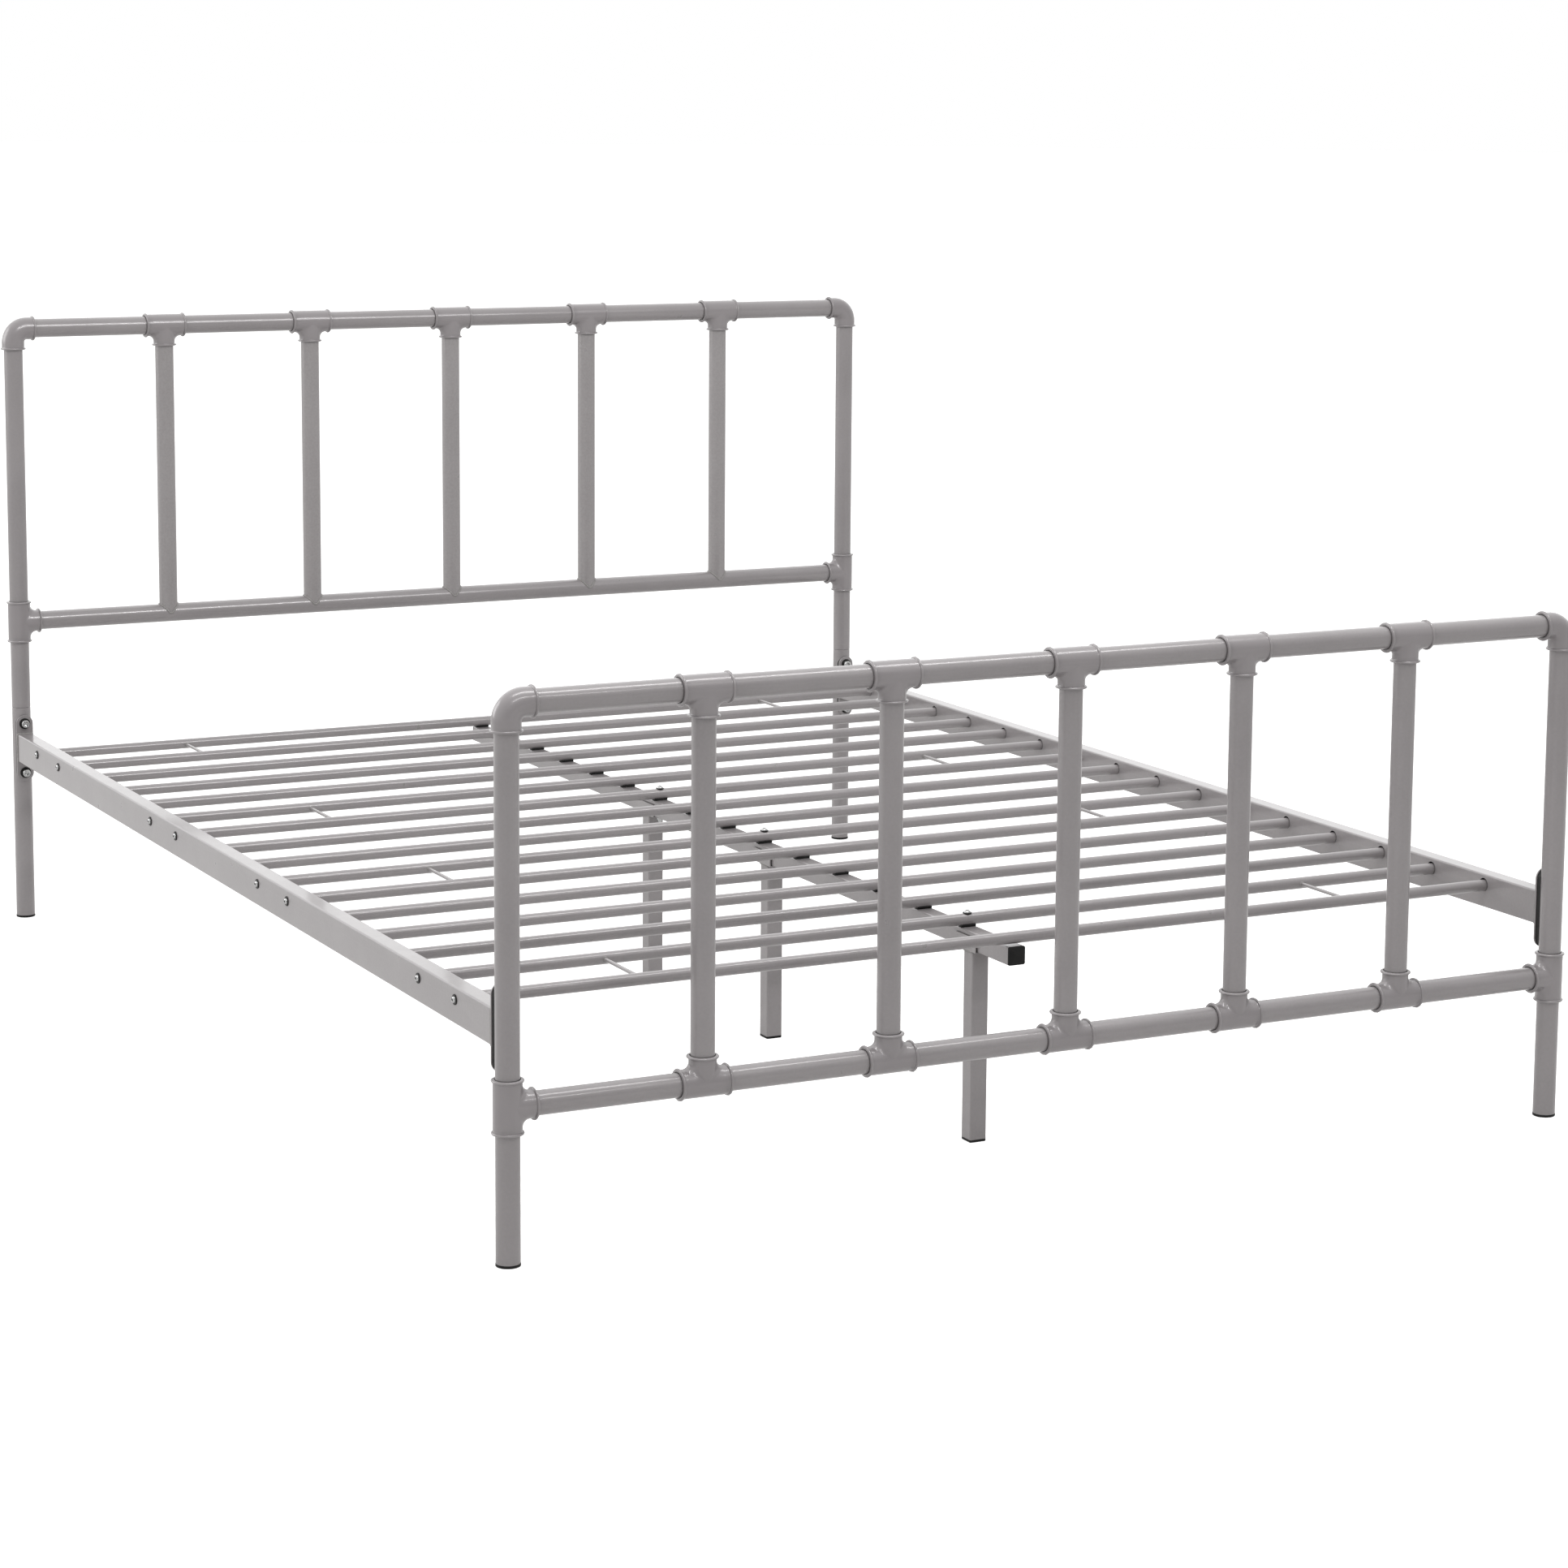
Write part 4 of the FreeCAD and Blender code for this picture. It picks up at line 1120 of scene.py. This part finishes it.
def build_pads(rail_top):
    """Black cradles between the slats and the centre rail; the last slat has none."""
    length, half, tall = 22.0 * MM, 5.0 * MM, 3.4 * MM
    edge, lip, arc_steps = 0.5 * MM, 0.15 * MM, 12
    rest = SLAT_Z - rail_top
    clear = SLAT_R + 0.1 * MM
    reach = asin((half - 0.6 * MM) / clear)
    outline = [(-half + edge, 0), (half - edge, 0), (half, edge), (half, tall - edge)]
    outline.append((half - lip, tall))
    for step in range(arc_steps + 1):
        angle = reach - 2 * reach * step / arc_steps
        outline.append((clear * sin(angle), min(rest - clear * cos(angle), tall)))
    outline += [(-half + lip, tall), (-half, tall - edge), (-half, edge)]
    end, soft = length / 2, length / 2 - 0.4 * MM
    loops = []
    for x, shrink in ((-end, 0.97), (-soft, 1), (soft, 1), (end, 0.97)):
        loops.append([Vector((x, y * shrink, z)) for y, z in outline])
    pad = lofted("slat_pad", loops, sharp=50.0)
    for number, y in enumerate(SLAT_Y[:-1], start=1):
        show(f"slat_pad_{number:02d}", pad, RUBBER, "slat_pads", placed(0, y, rail_top))


def bracket_mesh(inner, ends):
    """Channel with a rounded bend: bottom at zero, sides rising beside the rail."""
    outer = inner / 2 + BRACKET
    bend = BRACKET + 0.8 * MM
    outside, inside = [(-outer, BRACKET_EAR)], [(-outer + BRACKET, BRACKET_EAR)]
    for step in range(7):
        angle = pi + pi / 2 * step / 6
        for line, radius in ((outside, bend), (inside, bend - BRACKET)):
            x = bend - outer + radius * cos(angle)
            line.append((x, bend - BRACKET + radius * sin(angle)))
    outline = outside + [(-x, z) for x, z in reversed(outside)]
    outline += [(-x, z) for x, z in inside] + inside[::-1]
    return lofted("bracket", [[Vector((x, y, z)) for x, z in outline] for y in ends])


def build_centre_legs(rail_low, width):
    cap = square_cap_mesh("square_foot_cap", width, 3.5 * MM)
    top = rail_low - BRACKET
    for number, index in enumerate(BOLTED, start=1):
        node = f"centre_leg_{number}"
        low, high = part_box(node)
        bolt = SLAT_Y[index]
        outward = 1 if bolt > 0 else -1
        y = bolt + outward * LEG_OFFSET
        start = Vector((0, y, low.z))
        data = square_tube(f"leg_{number}", start, Z, X, Y, width, width, top - low.z)
        flatten_normals(show(f"centre_leg_tube_{number}", data, PAINT, node))
        ends = sorted((-BRACKET_OUTER_END * outward, BRACKET_INNER_END * outward))
        bracket = bracket_mesh(width + BRACKET_ROOM, ends)
        hole = Vector((0, bolt - y, 0))
        cutter = rod("bracket_hole", BOLT_HOLE, hole - Z * 5 * MM, hole + Z * 5 * MM)
        holed = drill(bracket, [cutter])
        place = placed(0, y, rail_low)
        flatten_normals(show(f"centre_bracket_{number}", holed, PAINT, matrix=place))
        seam = Vector((0, y, top - 0.5 * MM))
        square_weld(f"centre_leg_weld_{number}", seam, Y, width, width, 1.5 * MM, 2.6 * MM)
        show(f"centre_foot_cap_{number}", cap, BLACK, "centre_leg_caps", placed(0, y, 0))


def nut_mesh(flats, bore, tall):
    """Hexagon nut standing on the origin, its corners turned down."""
    half_flats = flats / 2
    turned_down = hexagon(half_flats, half_flats * 1.02)
    sides = hexagon(half_flats, half_flats * 1.2)
    profile = [
        (bore, 0),
        (turned_down, 0),
        (sides, 0.5 * MM),
        (sides, tall - 0.5 * MM),
        (turned_down, tall),
        (bore, tall),
    ]
    return turned("nut", profile, Z, 72, closed=True, sharp=25.0)


def build_centre_bolts(rail_low):
    screw = screw_mesh("centre_bolt", 4.5 * MM, 3.0 * MM, 1.99 * MM, 3.0 * MM, 54.0 * MM)
    washer = washer_mesh("centre_washer", 6.25 * MM, BOLT_HOLE, CENTRE_WASHER, Z)
    nut = nut_mesh(10.0 * MM, 3.1 * MM, NUT_TALL)
    slat_top = SLAT_Z + SLAT_R
    for index in BOLTED:
        y = SLAT_Y[index]
        tag = f"{index + 1:02d}"
        place = placed(0, y, slat_top + CENTRE_WASHER, rotation(-90, "X"))
        show(f"centre_bolt_{tag}", screw, ZINC, "centre_bolts", place)
        place = placed(0, y, slat_top)
        show(f"centre_washer_{tag}", washer, OXIDE, "centre_bolt_washers", place)
        place = placed(0, y, rail_low - BRACKET - NUT_TALL)
        show(f"centre_nut_{tag}", nut, ZINC, "centre_bolt_nuts", place)


def finish_inner_parts():
    """Hidden CAD parts keep their shape and take the plated steel."""
    for node in ("post_nuts", "slat_end_inserts"):
        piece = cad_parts[node]
        piece.data.materials.clear()
        piece.data.materials.append(ZINC)


# ---- studio


def build_studio():
    """A white room: bright ceiling, even walls, and a floor that returns little light."""
    data = bpy.data.meshes.new("studio_floor")
    floor = added("studio_floor", data)
    mesh = bmesh.new()
    bmesh.ops.create_circle(mesh, cap_ends=True, radius=60.0, segments=96)
    mesh.to_mesh(data)
    mesh.free()
    data.materials.append(floor_material())
    build_world()
    area_light("left_softbox", (-3.4, 2.4, 1.9), (-0.6, 0, 0.4), 1.8, 2.4, 32.0)
    area_light("ceiling_strip", (0, -9.0, 9.0), (0, 0, 0.4), 9.0, 0.35, 260.0)
    area_light("head_strip", (0, -1.2, 2.3), (0, 1.05, 0.6), 2.4, 0.3, 24.0)


def floor_material():
    """White where it is seen, with only a soft grey light coming back up from it."""
    graph = Graph(bpy.data.materials.new("studio_floor"))
    shader = graph.nodes["Principled BSDF"]
    base = (0.64, 0.635, 0.63, 1.0)
    graph.fill(shader, {"Base Color": base, "Roughness": 0.9, "Specular IOR Level": 0.0})
    matt = shader.outputs["BSDF"]
    glow = graph.add("ShaderNodeEmission", "Emission", {"Strength": 0.6})
    glowing = graph.add("ShaderNodeAddShader", "Shader", {0: matt, 1: glow})
    graph.fill(graph.nodes["Material Output"], {"Surface": graph.seen_as(matt, glowing)})
    return graph.owner


def build_world():
    """A white backdrop, whose light is strongest overhead and from behind the head end."""
    world = bpy.data.worlds.new("studio")
    bpy.context.scene.world = world
    graph = Graph(world)
    direction = graph.add("ShaderNodeTexCoord", "Generated")
    inputs = {0: direction, 1: (-0.08, 0.52, 0.0)}
    slope = graph.add("ShaderNodeVectorMath", "Value", inputs, operation="DOT_PRODUCT")
    height = graph.add("ShaderNodeSeparateXYZ", "Z", {"Vector": direction})
    inputs = {"Value": height, "From Min": 0.7, "From Max": 0.8, "To Min": 1.03, "To Max": 1.25}
    ceiling = graph.add("ShaderNodeMapRange", "Result", inputs)
    inputs = {0: slope, 1: ceiling}
    strength = graph.add("ShaderNodeMath", "Value", inputs, operation="ADD")
    white = (1.0, 1.0, 1.0, 1.0)
    room = graph.nodes["Background"]
    graph.fill(room, {"Color": white, "Strength": strength})
    backdrop = graph.add("ShaderNodeBackground", "Background", {"Color": white})
    seen = graph.seen_as(room.outputs["Background"], backdrop)
    graph.fill(graph.nodes["World Output"], {"Surface": seen})


def area_light(name, position, target, width, height, power):
    light = bpy.data.lights.new(name, "AREA")
    light.shape = "RECTANGLE"
    light.size = width
    light.size_y = height
    light.energy = power
    lamp = added(name, light)
    lamp.location = position
    aim = Vector(target) - Vector(position)
    lamp.rotation_euler = aim.to_track_quat("-Z", "Y").to_euler()
    lamp.visible_camera = False


def build_camera():
    """The photograph's point of view, with the lens shifted instead of tilted further."""
    position = (-2.4902, -5.1556, 1.4357)
    azimuth = radians(-26.88)
    elevation = radians(8.425)
    roll = radians(0.404)
    outward = cos(elevation)
    back = Vector(
        (sin(azimuth) * outward, -cos(azimuth) * outward, sin(elevation))
    )
    level = Vector((cos(azimuth), sin(azimuth), 0))
    upright = back.cross(level)
    right = cos(roll) * level + sin(roll) * upright
    up = -sin(roll) * level + cos(roll) * upright
    lens = bpy.data.cameras.new("photo_view")
    lens.sensor_width = 36.0
    lens.lens = 87.79
    lens.shift_y = -0.0999
    camera = added("photo_view", lens)
    turn = Matrix((right, up, back)).transposed()
    camera.matrix_world = Matrix.Translation(position) @ turn.to_4x4()
    bpy.context.scene.camera = camera
    bpy.context.scene.view_settings.view_transform = "Standard"


build_boards()
build_legs()
build_side_rails()
build_rail_joints()
build_slats()
build_slat_screws()
build_centre()
finish_inner_parts()
build_studio()
build_camera()
